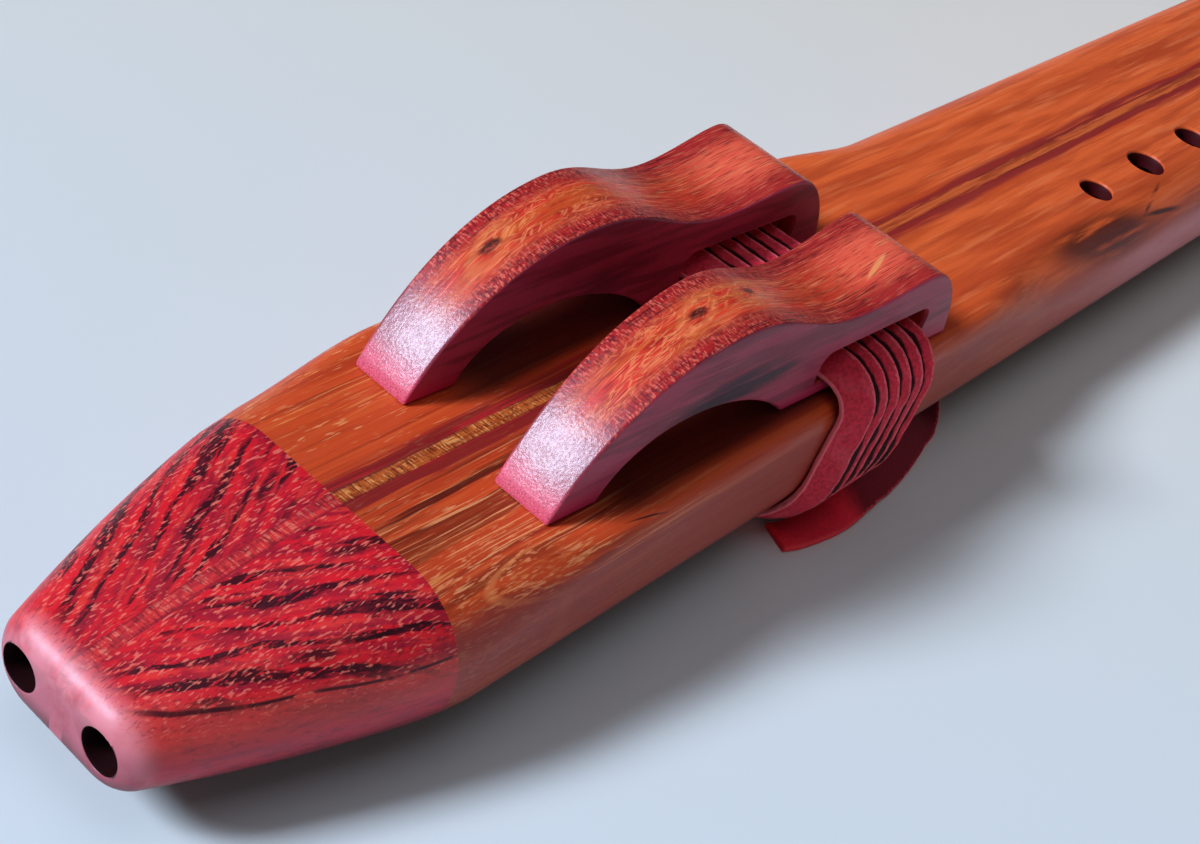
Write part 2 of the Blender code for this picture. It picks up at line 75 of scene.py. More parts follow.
# Air ways
BORE_Y = 18 * MM
BORE_RADIUS = 12 * MM
BORE_EASE = 0.5 * MM
BORE_HEIGHT = BODY_BOTTOM + 16 * MM
BLOW_HOLE_Y = 10.1 * MM
BLOW_HOLE_RADIUS = 4.25 * MM
BLOW_HOLE_EASE = 0.2 * MM
BLOW_HOLE_HEIGHT = BODY_TOP - 17.4 * MM
FLUE_HALF_WIDTH = 4 * MM
FLUE_DEPTH = 1.1 * MM
EXIT_SPAN = (143 * MM, 150 * MM)
SOUND_HOLE_SPAN = (202 * MM, 208 * MM)
SPLIT_RAMP = 5 * MM
FIRST_FINGER_HOLE = 292 * MM
FINGER_HOLE_STEP = 27.5 * MM
FINGER_HOLE_RADII = (4.25 * MM, 5 * MM, 4.75 * MM, 4.75 * MM, 5 * MM, 4.5 * MM)
FINGER_HOLE_EASE = 0.7 * MM
# The body has a section this far to each side of a finger hole; cutters run this far past a surface
BESIDE_HOLE = 7 * MM
OVERCUT = 2 * MM

# Birds: lengths are counted from the toe, heights from the seat
TOE_AT = 79.5 * MM
TOE_WIDTH = 13.3 * MM
HEEL_WIDTH = 25.6 * MM
BIRD_LENGTH = 120 * MM
TOE_EDGE = 0.8 * MM
HUMP = (43 * MM, 27.2 * MM)
SADDLE = (82 * MM, 17.9 * MM)
TAIL = (104 * MM, 19.5 * MM)
ARCH = (12 * MM, 64 * MM)
ARCH_RISE = 17 * MM
ARCH_FALL = 13 * MM
SLOT = (72.8 * MM, 108.5 * MM)
SLOT_FLOOR = 2.8 * MM
SLOT_ROOF = 10.5 * MM
SLOT_ROOF_RADIUS = 3 * MM
SLOT_FLOOR_RADIUS = 0.6 * MM
SEAT = BODY_TOP + 0.3 * MM
BIRD_EDGE = 0.7 * MM
# The slot's eased mouth: depths from the side face, with how far the slot is wider there
SLOT_FLARE = [
    (-2 * MM, 1.6 * MM),
    (-0.5 * MM, 0.7 * MM),
    (0.0, 0.4 * MM),
    (0.35 * MM, 0.12 * MM),
    (0.9 * MM, 0.0),
]

# Lace
LACE_WIDTH = 8 * MM
LACE_THICKNESS = 1.3 * MM
LACE_EDGE = 0.35 * MM
LACE_STEP = 1.5 * MM
CRUMPLE = 0.9 * MM
CRUMPLE_SIZE = 5 * MM
LIES_ABOVE_FLOOR = 0.02 * MM
WRAP_COUNT = 6
FIRST_WRAP_AT = 156.1 * MM
WRAP_PITCH = 4.4 * MM
WRAP_TILT = math.radians(25.5)
WRAP_HEIGHT = 4.617449 * MM
WRAP_SLANT = 8 * MM
WRAP_SLANT_POWER = 1.6
WRAP_GAP = 0.3 * MM
WRAP_BEND = 6 * MM
TAIL_START_TILT = math.radians(22)
TAIL_TURNS_FROM = 8 * MM
TAIL_FLAT_AFTER = 36 * MM
TAIL_TWIST = math.radians(46)
# At these lengths from its end the tail's twist starts, is full, fades and is gone
TAIL_TWIST_SPAN = (72 * MM, 54 * MM, 26 * MM, 15 * MM)
# The tail's route in metres: along from the last wrap, across, and above the surface it lies on
WRAP_END_AT = 174.5 * MM
TAIL_ROUTE = (
    (0.0, 0.0003, 0.0022),
    (0.0001, 0.004, 0.0022),
    (0.0016, 0.0095, 0.0022),
    (0.0075, 0.016, 0.0017),
    (0.0175, 0.0205, 0.00075),
    (0.0365, 0.021, 0.00075),
    (0.0555, 0.013, 0.00075),
    (0.0635, -0.002, 0.00075),
    (0.059, -0.017, 0.00075),
    (0.0455, -0.0275, 0.00075),
    (0.0305, -0.033, 0.00075),
    (0.0145, -0.0362, 0.00075),
    (-0.0015, -0.0366, 0.00075),
    (-0.014, -0.035, 0.00075),
    (-0.02, -0.033, 0.00075),
)

DRONE, MELODY = 1, -1

# A face that looks this much sideways, or up, is shaded flat; edges past these degrees stay sharp
FLAT_SIDE = 0.985
FLAT_TOP = 0.9995
SHARP_FROM = 35
SHARP_FROM_ON_BODY = 20
# Points up to this far outside a hole's radius still belong to its wall
WALL_MARGIN = 0.06 * MM


def along(distance):
    """World X of a distance from the mouth end."""
    return distance - LENGTH / 2


def smooth_step(value, start, end):
    share = np.clip((value - start) / (end - start), 0.0, 1.0)
    return share * share * (3 - 2 * share)


# Mesh steps


def add_object(name, data):
    made = bpy.data.objects.new(name, data)
    bpy.context.scene.collection.objects.link(made)
    return made


def closed_mesh(name, rings):
    """A mesh through rings of points that match one to one, closed by a face at each end."""
    count = len(rings[0])
    faces = [list(range(count)), list(range((len(rings) - 1) * count, len(rings) * count))]
    for row in range(len(rings) - 1):
        for i in range(count):
            j = (i + 1) % count
            low, high = row * count, (row + 1) * count
            faces.append([low + i, low + j, high + j, high + i])
    made = bpy.data.meshes.new(name)
    made.from_pydata([tuple(p) for ring in rings for p in ring], [], faces)
    work = bmesh.new()
    work.from_mesh(made)
    bmesh.ops.recalc_face_normals(work, faces=work.faces)
    work.to_mesh(made)
    work.free()
    return made


def settle(piece):
    """Turns a piece with its modifiers into a plain mesh."""
    shown = piece.evaluated_get(bpy.context.evaluated_depsgraph_get())
    old, done = piece.data, bpy.data.meshes.new_from_object(shown)
    piece.modifiers.clear()
    piece.data = done
    done.name = piece.name
    if old.users == 0:
        bpy.data.meshes.remove(old)


def cut(piece, shapes):
    """Takes each closed shape away from the piece."""
    for rings in shapes:
        cutter = add_object("cutter", closed_mesh("cutter", rings))
        step = piece.modifiers.new("cut", "BOOLEAN")
        step.operation, step.solver, step.object = "DIFFERENCE", "EXACT", cutter
        settle(piece)
        spent = cutter.data
        bpy.data.objects.remove(cutter)
        bpy.data.meshes.remove(spent)


def shade(piece, sharp=SHARP_FROM, **flat_ways):
    """Smooth faces, sharp where they meet past an angle and flat where they look along a way this much."""
    mesh = piece.data
    for face in mesh.polygons:
        face.use_smooth = all(abs(getattr(face.normal, way)) < limit for way, limit in flat_ways.items())
    mesh.set_sharp_from_angle(angle=math.radians(sharp))


def mark(piece, name, values):
    """Keeps a number at each point of a piece for its material to read."""
    kept = piece.data.attributes.new(name, "FLOAT", "POINT")
    kept.data.foreach_set("value", np.array(values, np.float32))


def mark_inside(piece, holes):
    """Marks the walls of round holes, each given by a point on its middle line, a way and a radius."""
    points = np.array([v.co for v in piece.data.vertices])
    inside = np.zeros(len(points))
    for start, way, radius in holes:
        off = np.linalg.norm(np.cross(points - np.array(start), np.array(way, float)), axis=1)
        inside = np.maximum(inside, off < radius + WALL_MARGIN)
    mark(piece, "inside", inside)


def round_rings(start, way, profile, sides=64):
    """Rings of a turned shape: the profile lists distances along the way, with the radius at each."""
    way = np.array(way, float)
    first = np.cross(way, (0.31, 0.87, 0.38))  # along none of the ways in use
    first /= np.linalg.norm(first)
    second = np.cross(way, first)
    turns = [2 * math.pi * (i + 0.5) / sides for i in range(sides)]
    return [
        [np.array(start) + way * d + radius * (math.cos(a) * first + math.sin(a) * second) for a in turns]
        for d, radius in profile
    ]


def box_rings(x_span, y_span, z_span):
    (y0, y1), (z0, z1) = y_span, z_span
    return [[(x, y0, z0), (x, y1, z0), (x, y1, z1), (x, y0, z1)] for x in x_span]


# Body, caps and strips


def end_insets(distance):
    """How far the rounded lips, or the eased foot end, stand in from the straight shape."""
    left = max(0.0, TIP_ROUND - distance)
    lips = TIP_ROUND - math.sqrt(TIP_ROUND**2 - left**2)
    past = max(0.0, distance - (LENGTH - FOOT_EASE))
    return lips + FOOT_EASE - math.sqrt(FOOT_EASE**2 - past**2)


def half_width(distance):
    share = max(0.0, 1 - distance / FULL_WIDTH_AT)
    narrow = (BODY_WIDTH / 2 - TIP_HALF_WIDTH) * share**PLAN_POWER
    return BODY_WIDTH / 2 - narrow - end_insets(distance)


def heights(distance):
    share = max(0.0, 1 - distance / FULL_DEPTH_AT) ** DEPTH_POWER
    inset = end_insets(distance)
    return BODY_BOTTOM + TIP_BOTTOM_RISE * share + inset, BODY_TOP - TIP_TOP_DROP * share - inset


def corner_radii(distance):
    """Wide round edges on the cap and the tube, and nearly square top ones where the birds nest."""
    grow = smooth_step(distance, 0.0, JOINT_AT)
    low = TIP_RADIUS + (TUBE_RADIUS - TIP_RADIUS) * grow
    squared = smooth_step(distance, JOINT_AT, NEST_START)
    squared -= smooth_step(distance, NEST_END, NEST_END + NEST_RUN_OUT)
    return low, low + (NEST_TOP_RADIUS - TUBE_RADIUS) * squared


def half_ring(distance, side, steps=14):
    """One half's section: flat inside, rounded at the outer edges."""
    outer = half_width(distance)
    bottom, top = heights(distance)
    room = min((top - bottom) / 2, outer - STRIP_EDGE) * FULLEST_ROUND
    low, high = (min(radius, room) for radius in corner_radii(distance))
    angles = [math.pi / 2 * i / steps for i in range(steps + 1)]
    points = [(STRIP_EDGE, top), (STRIP_EDGE, bottom), (outer - low - ROUND_LEAD, bottom)]
    points += [(outer - low + low * math.sin(a), bottom + low - low * math.cos(a)) for a in angles]
    points += [(outer - high + high * math.cos(a), top - high + high * math.sin(a)) for a in angles]
    points.append((outer - high - ROUND_LEAD, top))
    return [(along(distance), side * y, z) for y, z in points]


def strip_ring(distance):
    bottom, top = heights(distance)
    section = ((-STRIP_EDGE, bottom), (STRIP_EDGE, bottom), (STRIP_EDGE, top), (-STRIP_EDGE, top))
    return [(along(distance), y, z) for y, z in section]


def cap_stations():
    lips = [TIP_ROUND * (1 - math.cos(math.pi / 2 * i / 12)) for i in range(12)]
    return lips + list(np.linspace(TIP_ROUND, JOINT_AT, 36))


def body_stations():
    foot = [LENGTH - FOOT_EASE * (1 - math.sin(math.pi / 2 * i / 6)) for i in range(7)]
    nest = list(np.linspace(JOINT_AT, NEST_START, 24)) + [NEST_MIDDLE]
    holes = [FIRST_FINGER_HOLE + i * FINGER_HOLE_STEP for i in range(len(FINGER_HOLE_RADII))]
    beside = [hole + reach for hole in holes for reach in (-BESIDE_HOLE, BESIDE_HOLE)]
    return nest + list(np.linspace(NEST_END, NEST_END + NEST_RUN_OUT, 24)) + beside + foot


def flared(radius, ease):
    """The end of a round cutter's profile, which eases a hole's edge at the surface and stops past it."""
    steps = ((-3, 0), (-1.1, 0.03), (-0.6, 0.16), (-0.25, 0.42), (0, 0.85), (1.2, 2.6))
    return [(along_hole * ease, radius + wider * ease) for along_hole, wider in steps]


def make_cap(name, side):
    cap = add_object(name, closed_mesh(name, [half_ring(d, side) for d in cap_stations()]))
    mouth = (along(0.0), side * BLOW_HOLE_Y, BLOW_HOLE_HEIGHT)
    hole = [(-OVERCUT - JOINT_AT, BLOW_HOLE_RADIUS)] + flared(BLOW_HOLE_RADIUS, BLOW_HOLE_EASE)
    cut(cap, [round_rings(mouth, (-1, 0, 0), hole)])
    mark_inside(cap, [(mouth, (-1, 0, 0), BLOW_HOLE_RADIUS)])
    shade(cap, y=FLAT_SIDE)
    return cap


def make_body(name, side):
    body = add_object(name, closed_mesh(name, [half_ring(d, side) for d in body_stations()]))
    y = side * BORE_Y
    across, above = (y - FLUE_HALF_WIDTH, y + FLUE_HALF_WIDTH), BODY_TOP + OVERCUT
    bore = [(JOINT_AT - LENGTH - OVERCUT, BORE_RADIUS)] + flared(BORE_RADIUS, BORE_EASE)
    exit_start, exit_end = (along(d) for d in EXIT_SPAN)
    start, far = (along(d) for d in SOUND_HOLE_SPAN)
    sill = BODY_TOP - FLUE_DEPTH
    sound_hole = ((start, BORE_HEIGHT), (far, BORE_HEIGHT), (far, sill), (far + SPLIT_RAMP, BODY_TOP))
    sound_hole += ((far + SPLIT_RAMP, above), (start, above))
    shapes = [
        round_rings((along(LENGTH), y, BORE_HEIGHT), (1, 0, 0), bore, 96),
        box_rings((exit_start, exit_end), across, (BORE_HEIGHT, above)),
        box_rings((exit_end - OVERCUT, start + OVERCUT), across, (sill, above)),
        [[(x, edge, z) for x, z in sound_hole] for edge in across],
    ]
    holes = [((along(LENGTH), y, BORE_HEIGHT), (1, 0, 0), BORE_RADIUS)]
    for i, radius in enumerate(FINGER_HOLE_RADII if side == MELODY else ()):
        top = (along(FIRST_FINGER_HOLE + i * FINGER_HOLE_STEP), y, BODY_TOP)
        hole = [(BORE_HEIGHT - BODY_TOP, radius)] + flared(radius, FINGER_HOLE_EASE)
        shapes.append(round_rings(top, (0, 0, 1), hole))
        holes.append((top, (0, 0, 1), radius))
    cut(body, shapes)
    mark_inside(body, holes)
    shade(body, sharp=SHARP_FROM_ON_BODY, y=FLAT_SIDE, z=FLAT_TOP)
    return body


def make_strip(name, stations):
    strip = add_object(name, closed_mesh(name, [strip_ring(d) for d in stations]))
    shade(strip, y=FLAT_SIDE)
    return strip


# Birds


def cubic(start, first, second, end, steps=20):
    """Points of a cubic curve from its start up to, and without, its end."""
    t = np.linspace(0.0, 1.0, steps, endpoint=False)[:, None]
    start, first, second, end = (np.array(p) for p in (start, first, second, end))
    curve = start * (1 - t) ** 3 + 3 * first * t * (1 - t) ** 2 + 3 * second * t * t * (1 - t)
    return [tuple(p) for p in curve + end * t**3]


def bird_outline():
    """Side view from the toe: the arch under the breast, the flat seat, the tail, saddle and hump."""
    toe_top, span = (0.0, TOE_EDGE), ARCH[1] - ARCH[0]
    dip, neck, end = TAIL[0] - SADDLE[0], SADDLE[0] - HUMP[0], BIRD_LENGTH - TAIL[0]
    rise, fall = (ARCH[0] + 0.14 * span, ARCH_RISE), (ARCH[1] - 0.27 * span, ARCH_FALL)
    heel_out = (BIRD_LENGTH - 0.08 * TAIL[1], 0.55 * TAIL[1])
    points = [(0.0, 0.0)] + cubic((ARCH[0], 0.0), rise, fall, (ARCH[1], 0.0)) + [(ARCH[1], 0.0)]
    points += cubic((BIRD_LENGTH, 0.0), heel_out, (TAIL[0] + 0.5 * end, TAIL[1]), TAIL)
    points += cubic(TAIL, (TAIL[0] - 0.32 * dip, TAIL[1]), (SADDLE[0] + 0.41 * dip, SADDLE[1]), SADDLE)
    points += cubic(SADDLE, (SADDLE[0] - 0.41 * neck, SADDLE[1]), (HUMP[0] + 0.36 * neck, HUMP[1]), HUMP)
    points += cubic(HUMP, (0.51 * HUMP[0], HUMP[1]), (0.186 * HUMP[0], 0.6 * HUMP[1]), toe_top, 28)
    return np.array(points + [toe_top])


def slot_outline():
    """A slot for the lace: rounded at its roof, nearly square at its floor."""
    low, high = SLOT_FLOOR_RADIUS, SLOT_ROOF_RADIUS
    corners = (
        (SLOT[1] - low, SLOT_FLOOR + low, low, -1),
        (SLOT[1] - high, SLOT_ROOF - high, high, 0),
        (SLOT[0] + high, SLOT_ROOF - high, high, 1),
        (SLOT[0] + low, SLOT_FLOOR + low, low, 2),
    )
    points = []
    for x, z, radius, quarter in corners:
        for angle in np.linspace(quarter, quarter + 1, 10) * math.pi / 2:
            points.append((x + radius * math.cos(angle), z + radius * math.sin(angle)))
    return np.array(points)


def outward(outline):
    """The way out of a closed outline at each of its points, which run against the clock."""
    ahead, behind = np.roll(outline, -1, axis=0) - outline, outline - np.roll(outline, 1, axis=0)
    ahead /= np.linalg.norm(ahead, axis=1)[:, None]
    behind /= np.linalg.norm(behind, axis=1)[:, None]
    middle = ahead + behind
    middle /= np.linalg.norm(middle, axis=1)[:, None]
    return np.stack((middle[:, 1], -middle[:, 0]), axis=1)


def bird_half_width(distance):
    return (TOE_WIDTH + (HEEL_WIDTH - TOE_WIDTH) * distance / BIRD_LENGTH) / 2


def side_rings(outline, ways, steps, place):
    """Rings across the bird: each step is a depth from the side face and a growth of the outline."""
    rings = []
    for side, ordered in ((-1, steps), (1, steps[::-1])):
        for depth, growth in ordered:
            grown = outline + ways * growth
            y = side * (bird_half_width(outline[:, 0]) - depth)
            rings.append(np.stack((grown[:, 0], y, grown[:, 1]), axis=1) + place)
    return rings


def make_bird(name, side):
    place = np.array((along(TOE_AT), side * BORE_Y, SEAT))
    outline, turns = bird_outline(), np.linspace(0.0, math.pi / 2, 6)
    eased = [(BIRD_EDGE * (1 - math.cos(a)), -BIRD_EDGE * (1 - math.sin(a))) for a in turns]
    bird = add_object(name, closed_mesh(name, side_rings(outline, outward(outline), eased, place)))
    slot = slot_outline()
    cut(bird, [side_rings(slot, outward(slot), SLOT_FLARE, place)])
    shade(bird, y=FLAT_SIDE)
    points = np.array([v.co for v in bird.data.vertices]) - place
    mark(bird, "across", points[:, 1] / bird_half_width(points[:, 0]))
    return bird


# Node trees


def colour(text):
    """A colour written as in a picture, such as #B4531F, as the linear values that a node takes."""
    parts = [int(text[i : i + 2], 16) / 255 for i in (1, 3, 5)]
    return (*(p / 12.92 if p <= 0.04045 else ((p + 0.055) / 1.055) ** 2.4 for p in parts), 1.0)


def node(tree, kind, inputs=None, **settings):
    """Adds one node with its settings; an input is a value or another node's output."""
    made = tree.nodes.new(kind)
    for name, value in settings.items():
        setattr(made, name, value)
    for name, value in (inputs or {}).items():
        if isinstance(value, bpy.types.NodeSocket):
            tree.links.new(value, made.inputs[name])
        else:
            made.inputs[name].default_value = value
    return made.outputs


def maths(tree, operation, *values):
    """One step of arithmetic on these values in order."""
    return node(tree, "ShaderNodeMath", dict(enumerate(values)), operation=operation)[0]


def vectors(tree, operation, *values):
    """One step of arithmetic on vectors: all its outputs."""
    return node(tree, "ShaderNodeVectorMath", dict(enumerate(values)), operation=operation)


def ranged(tree, value, start, end, low=0.0, high=1.0, kind="LINEAR"):
    """Turns a value between start and end into one between low and high."""
    ends = {"Value": value, "From Min": start, "From Max": end, "To Min": low, "To Max": high}
    return node(tree, "ShaderNodeMapRange", ends, interpolation_type=kind)[0]


def faded(tree, value, start, end):
    """A share that fades in smoothly between start and end."""
    return ranged(tree, value, start, end, kind="SMOOTHSTEP")


def laid_over(tree, share, under, text):
    """A share of a colour laid over another."""
    return node(tree, "ShaderNodeMix", {0: share, 6: under, 7: colour(text)}, data_type="RGBA")[2]


def marked(tree, name):
    """A number that a piece keeps at its points."""
    return node(tree, "ShaderNodeAttribute", attribute_name=name)["Fac"]


# Lace


def wrap_rail(steps=11):
    """One turn's inner line round the body and through the birds: across, height and facing angle."""
    low_y, low_z, low_radius = BODY_WIDTH / 2 - TUBE_RADIUS, BODY_BOTTOM + TUBE_RADIUS, TUBE_RADIUS + WRAP_GAP
    high_y, high_z = BODY_WIDTH / 2 + WRAP_GAP - WRAP_BEND, SEAT + SLOT_FLOOR + WRAP_GAP - WRAP_BEND
    corners = ((low_y, low_z, low_radius, -1), (high_y, high_z, WRAP_BEND, 0))
    corners += ((-high_y, high_z, WRAP_BEND, 1), (-low_y, low_z, low_radius, 2))
    rail = [(0.0, BODY_BOTTOM - WRAP_GAP, -math.pi / 2)]
    for y, z, radius, quarter in corners:
        for angle in np.linspace(quarter, quarter + 1, steps) * math.pi / 2:
            rail.append((y + radius * math.cos(angle), z + radius * math.sin(angle), angle))
    return rail


def wrap_line():
    """The middle of the lace through all its turns, and the way its outer face looks at each point."""
    rail = wrap_rail()
    around = np.cumsum([0.0] + [math.dist(a[:2], b[:2]) for a, b in zip(rail, rail[1:] + rail[:1])])
    low, high = min(z for _, z, _ in rail), max(z for _, z, _ in rail)
    line = [(turn + run / around[-1], *at) for turn in range(WRAP_COUNT) for at, run in zip(rail, around)]
    line.append((WRAP_COUNT, *rail[0]))
    middles, outs = [], []
    for turns, y, z, angle in line:
        slant = WRAP_SLANT * ((high - z) / (high - low)) ** WRAP_SLANT_POWER
        out = np.array((0.0, math.cos(angle), math.sin(angle)))
        at = np.array((along(FIRST_WRAP_AT + WRAP_PITCH * turns - slant), y, z))
        middles.append(at + out * WRAP_HEIGHT / 2)
        outs.append(out)
    middles, outs = np.array(middles), np.array(outs)
    tangents = np.gradient(middles, axis=0)
    tangents /= np.linalg.norm(tangents, axis=1)[:, None]
    outs -= tangents * (outs * tangents).sum(axis=1)[:, None]
    outs /= np.linalg.norm(outs, axis=1)[:, None]
    sides = np.cross(outs, tangents)
    sides *= np.sign(sides[:, :1])
    return middles, outs * math.cos(WRAP_TILT) - sides * math.sin(WRAP_TILT), [1 + row[0] for row in line]


def tail_line(count=64):
    """Points evenly spread along a smooth curve through the route, and the way the upper face looks."""
    route = np.array(TAIL_ROUTE)
    ends = np.vstack((2 * route[0] - route[1], route, 2 * route[-1] - route[-2]))
    fine = []
    for a, b, c, d in zip(ends, ends[1:], ends[2:], ends[3:]):
        for t in np.linspace(0.0, 1.0, 20, endpoint=False):
            bend = (2 * a - 5 * b + 4 * c - d) * t * t + (3 * b - a - 3 * c + d) * t**3
            fine.append(0.5 * (2 * b + (c - a) * t + bend))
    fine = np.array(fine + [route[-1]])
    run = np.concatenate(([0.0], np.cumsum(np.linalg.norm(np.diff(fine, axis=0), axis=1))))
    marks = np.linspace(0.0, run[-1], count)
    line = np.stack([np.interp(marks, run, fine[:, k]) for k in range(3)], axis=1)
    line[:, 0] += along(WRAP_END_AT)
    tangents = np.gradient(line, axis=0)
    tangents /= np.linalg.norm(tangents, axis=1)[:, None]
    sides = np.cross(tangents, (0.0, 0.0, 1.0))
    sides /= np.linalg.norm(sides, axis=1)[:, None]
    ups = np.cross(sides, tangents)
    tilts = (TAIL_START_TILT * (1 - smooth_step(marks, TAIL_TURNS_FROM, TAIL_FLAT_AFTER)))[:, None]
    left = run[-1] - marks
    comes, full, goes, flat = TAIL_TWIST_SPAN
    twist = TAIL_TWIST * (smooth_step(-left, -comes, -full) - smooth_step(-left, -goes, -flat))[:, None]
    line[:, 2:] += LACE_WIDTH / 2 * np.sin(twist)
    return line, ups * np.cos(tilts - twist) + sides * np.sin(tilts - twist), run[-1]


def lace_tree():
    """A node tree that sweeps a flat lace with eased edges along a line of points."""
    tree = bpy.data.node_groups.new("flat lace", "GeometryNodeTree")
    ask = tree.interface.new_socket
    ask("Geometry", in_out="INPUT", socket_type="NodeSocketGeometry")
    for name in ("Lace width", "Lace thickness", "Edge radius", "Crumple"):
        ask(name, in_out="INPUT", socket_type="NodeSocketFloat")
    ask("Leather", in_out="INPUT", socket_type="NodeSocketMaterial")
    ask("Geometry", in_out="OUTPUT", socket_type="NodeSocketGeometry")
    given = node(tree, "NodeGroupInput")
    looks = node(tree, "GeometryNodeInputNamedAttribute", {"Name": "face_way"}, data_type="FLOAT_VECTOR")
    line = node(tree, "GeometryNodeMeshToCurve", {"Mesh": given["Geometry"]})
    spaced = {"Curve": line["Curve"], "Length": LACE_STEP}
    line = node(tree, "GeometryNodeResampleCurve", spaced, mode="LENGTH")
    faced = {"Curve": line["Curve"], "Normal": looks["Attribute"]}
    turned = node(tree, "GeometryNodeSetCurveNormal", faced, mode="FREE")
    flat = {"Width": given["Lace thickness"], "Height": given["Lace width"]}
    section = node(tree, "GeometryNodeCurvePrimitiveQuadrilateral", flat)
    corners = {"Curve": section["Curve"], "Radius": given["Edge radius"], "Count": 4}
    eased = node(tree, "GeometryNodeFilletCurve", corners, mode="POLY")
    spot = node(tree, "ShaderNodeSeparateXYZ", {0: node(tree, "GeometryNodeInputPosition")[0]})
    share = maths(tree, "DIVIDE", spot["Y"], maths(tree, "DIVIDE", given["Lace width"], 2.0))
    kept = {"Geometry": eased["Curve"], "Name": "across", "Value": share}
    kept = node(tree, "GeometryNodeStoreNamedAttribute", kept)
    swept = {"Curve": turned["Curve"], "Profile Curve": kept["Geometry"], "Fill Caps": True}
    band = node(tree, "GeometryNodeCurveToMesh", swept)
    ripple = node(tree, "ShaderNodeTexNoise", {"Scale": 1 / CRUMPLE_SIZE, "Detail": 3.0})["Color"]
    ripple = {0: vectors(tree, "SUBTRACT", ripple, (0.5,) * 3)[0], "Scale": given["Crumple"]}
    ripple = node(tree, "ShaderNodeVectorMath", ripple, operation="SCALE")[0]
    band = node(tree, "GeometryNodeSetPosition", {"Geometry": band["Mesh"], "Offset": ripple})
    whole = node(tree, "GeometryNodeRealizeInstances", {"Geometry": band["Geometry"]})
    leather = {"Geometry": whole["Geometry"], "Material": given["Leather"]}
    done = node(tree, "GeometryNodeSetMaterial", leather)
    node(tree, "NodeGroupOutput", {"Geometry": done["Geometry"]})
    return tree


def sweep_lace(name, tree, points, face_ways, turns, leather):
    mesh = bpy.data.meshes.new(name)
    mesh.from_pydata([tuple(p) for p in points], [(i, i + 1) for i in range(len(points) - 1)], [])
    ways = mesh.attributes.new("face_way", "FLOAT_VECTOR", "POINT")
    ways.data.foreach_set("vector", face_ways.astype(np.float32).ravel())
    lace = add_object(name, mesh)
    mark(lace, "turn", turns)
    step = lace.modifiers.new("flat lace", "NODES")
    step.node_group = tree
    given = {"Lace width": LACE_WIDTH, "Lace thickness": LACE_THICKNESS, "Edge radius": LACE_EDGE}
    given.update({"Crumple": CRUMPLE, "Leather": leather})
    for item in tree.interface.items_tree:
        if item.name in given:
            step[item.identifier] = given[item.name]
    settle(lace)
    for point in lace.data.vertices:
        point.co.z = max(point.co.z, LIES_ABOVE_FLOOR)
    shade(lace)
    return lace


# Materials

# Shares of the film of oil that are left over pores, and on side faces and in holes
FILM_OVER_PORES = 0.55
FILM_ON_SIDES = 0.15
ROUGHNESS_SWING = 0.06
# The turns lie closer together below the first of these heights, and most closely below the second
TURNS_CLOSE_IN = (36 * MM, 15 * MM)
CLOSEST = 0.42
FIRST_TURN_ENDS = 2.02


def material(name):
    made = bpy.data.materials.new(name)
    made.use_nodes = True
    made.node_tree.nodes.clear()
    return made, made.node_tree


def surface(tree, inputs):
    skin = node(tree, "ShaderNodeBsdfPrincipled", inputs)
    node(tree, "ShaderNodeOutputMaterial", {"Surface": skin[0]})


def sized(tree, place, size, turn=0.0, at=(0.0, 0.0, 0.0)):
    """The place measured in steps of this size in mm, turned about the upright and counted from a point."""
    scale = tuple(length * MM for length in size)
    turned = {"Vector": place, "Scale": scale, "Rotation": (0.0, 0.0, math.radians(turn))}
    turned["Location"] = tuple(length * MM for length in at)
    return node(tree, "ShaderNodeMapping", turned, vector_type="TEXTURE")[0]


def noise(tree, place, size, **more):
    """A cloudy pattern with patches of about this size in mm."""
    return node(tree, "ShaderNodeTexNoise", {"Vector": sized(tree, place, size), "Scale": 1.0, **more})


def figure(tree, place, layer):
    """A mask of one layer's streaks, grain lines, spot or ring, from the sizes in its row."""
    kind = layer["kind"]
    at = sized(tree, place, layer["size"], layer.get("turn", 0.0), layer.get("at", (0.0, 0.0, 0.0)))
    if kind in ("spot", "ring"):
        value = vectors(tree, "LENGTH", at)["Value"]
    else:
        grown = {"Vector": at, "Scale": layer.get("coarse", 1.0), "Detail": layer.get("detail", 3.0)}
        grown["Roughness"] = layer.get("rough", 0.55)
        value = node(tree, "ShaderNodeTexNoise", grown)["Fac"]
    if kind == "grain":
        across = vectors(tree, "DOT_PRODUCT", at, (0.0, 1.0, layer["lean"]))["Value"]
        drift = maths(tree, "MULTIPLY_ADD", value, layer["drift"], across)
        value = maths(tree, "PINGPONG", drift, 0.5)
    if kind == "ring":
        value = maths(tree, "ABSOLUTE", maths(tree, "SUBTRACT", value, 1.0))
    return faded(tree, value, *layer["span"])


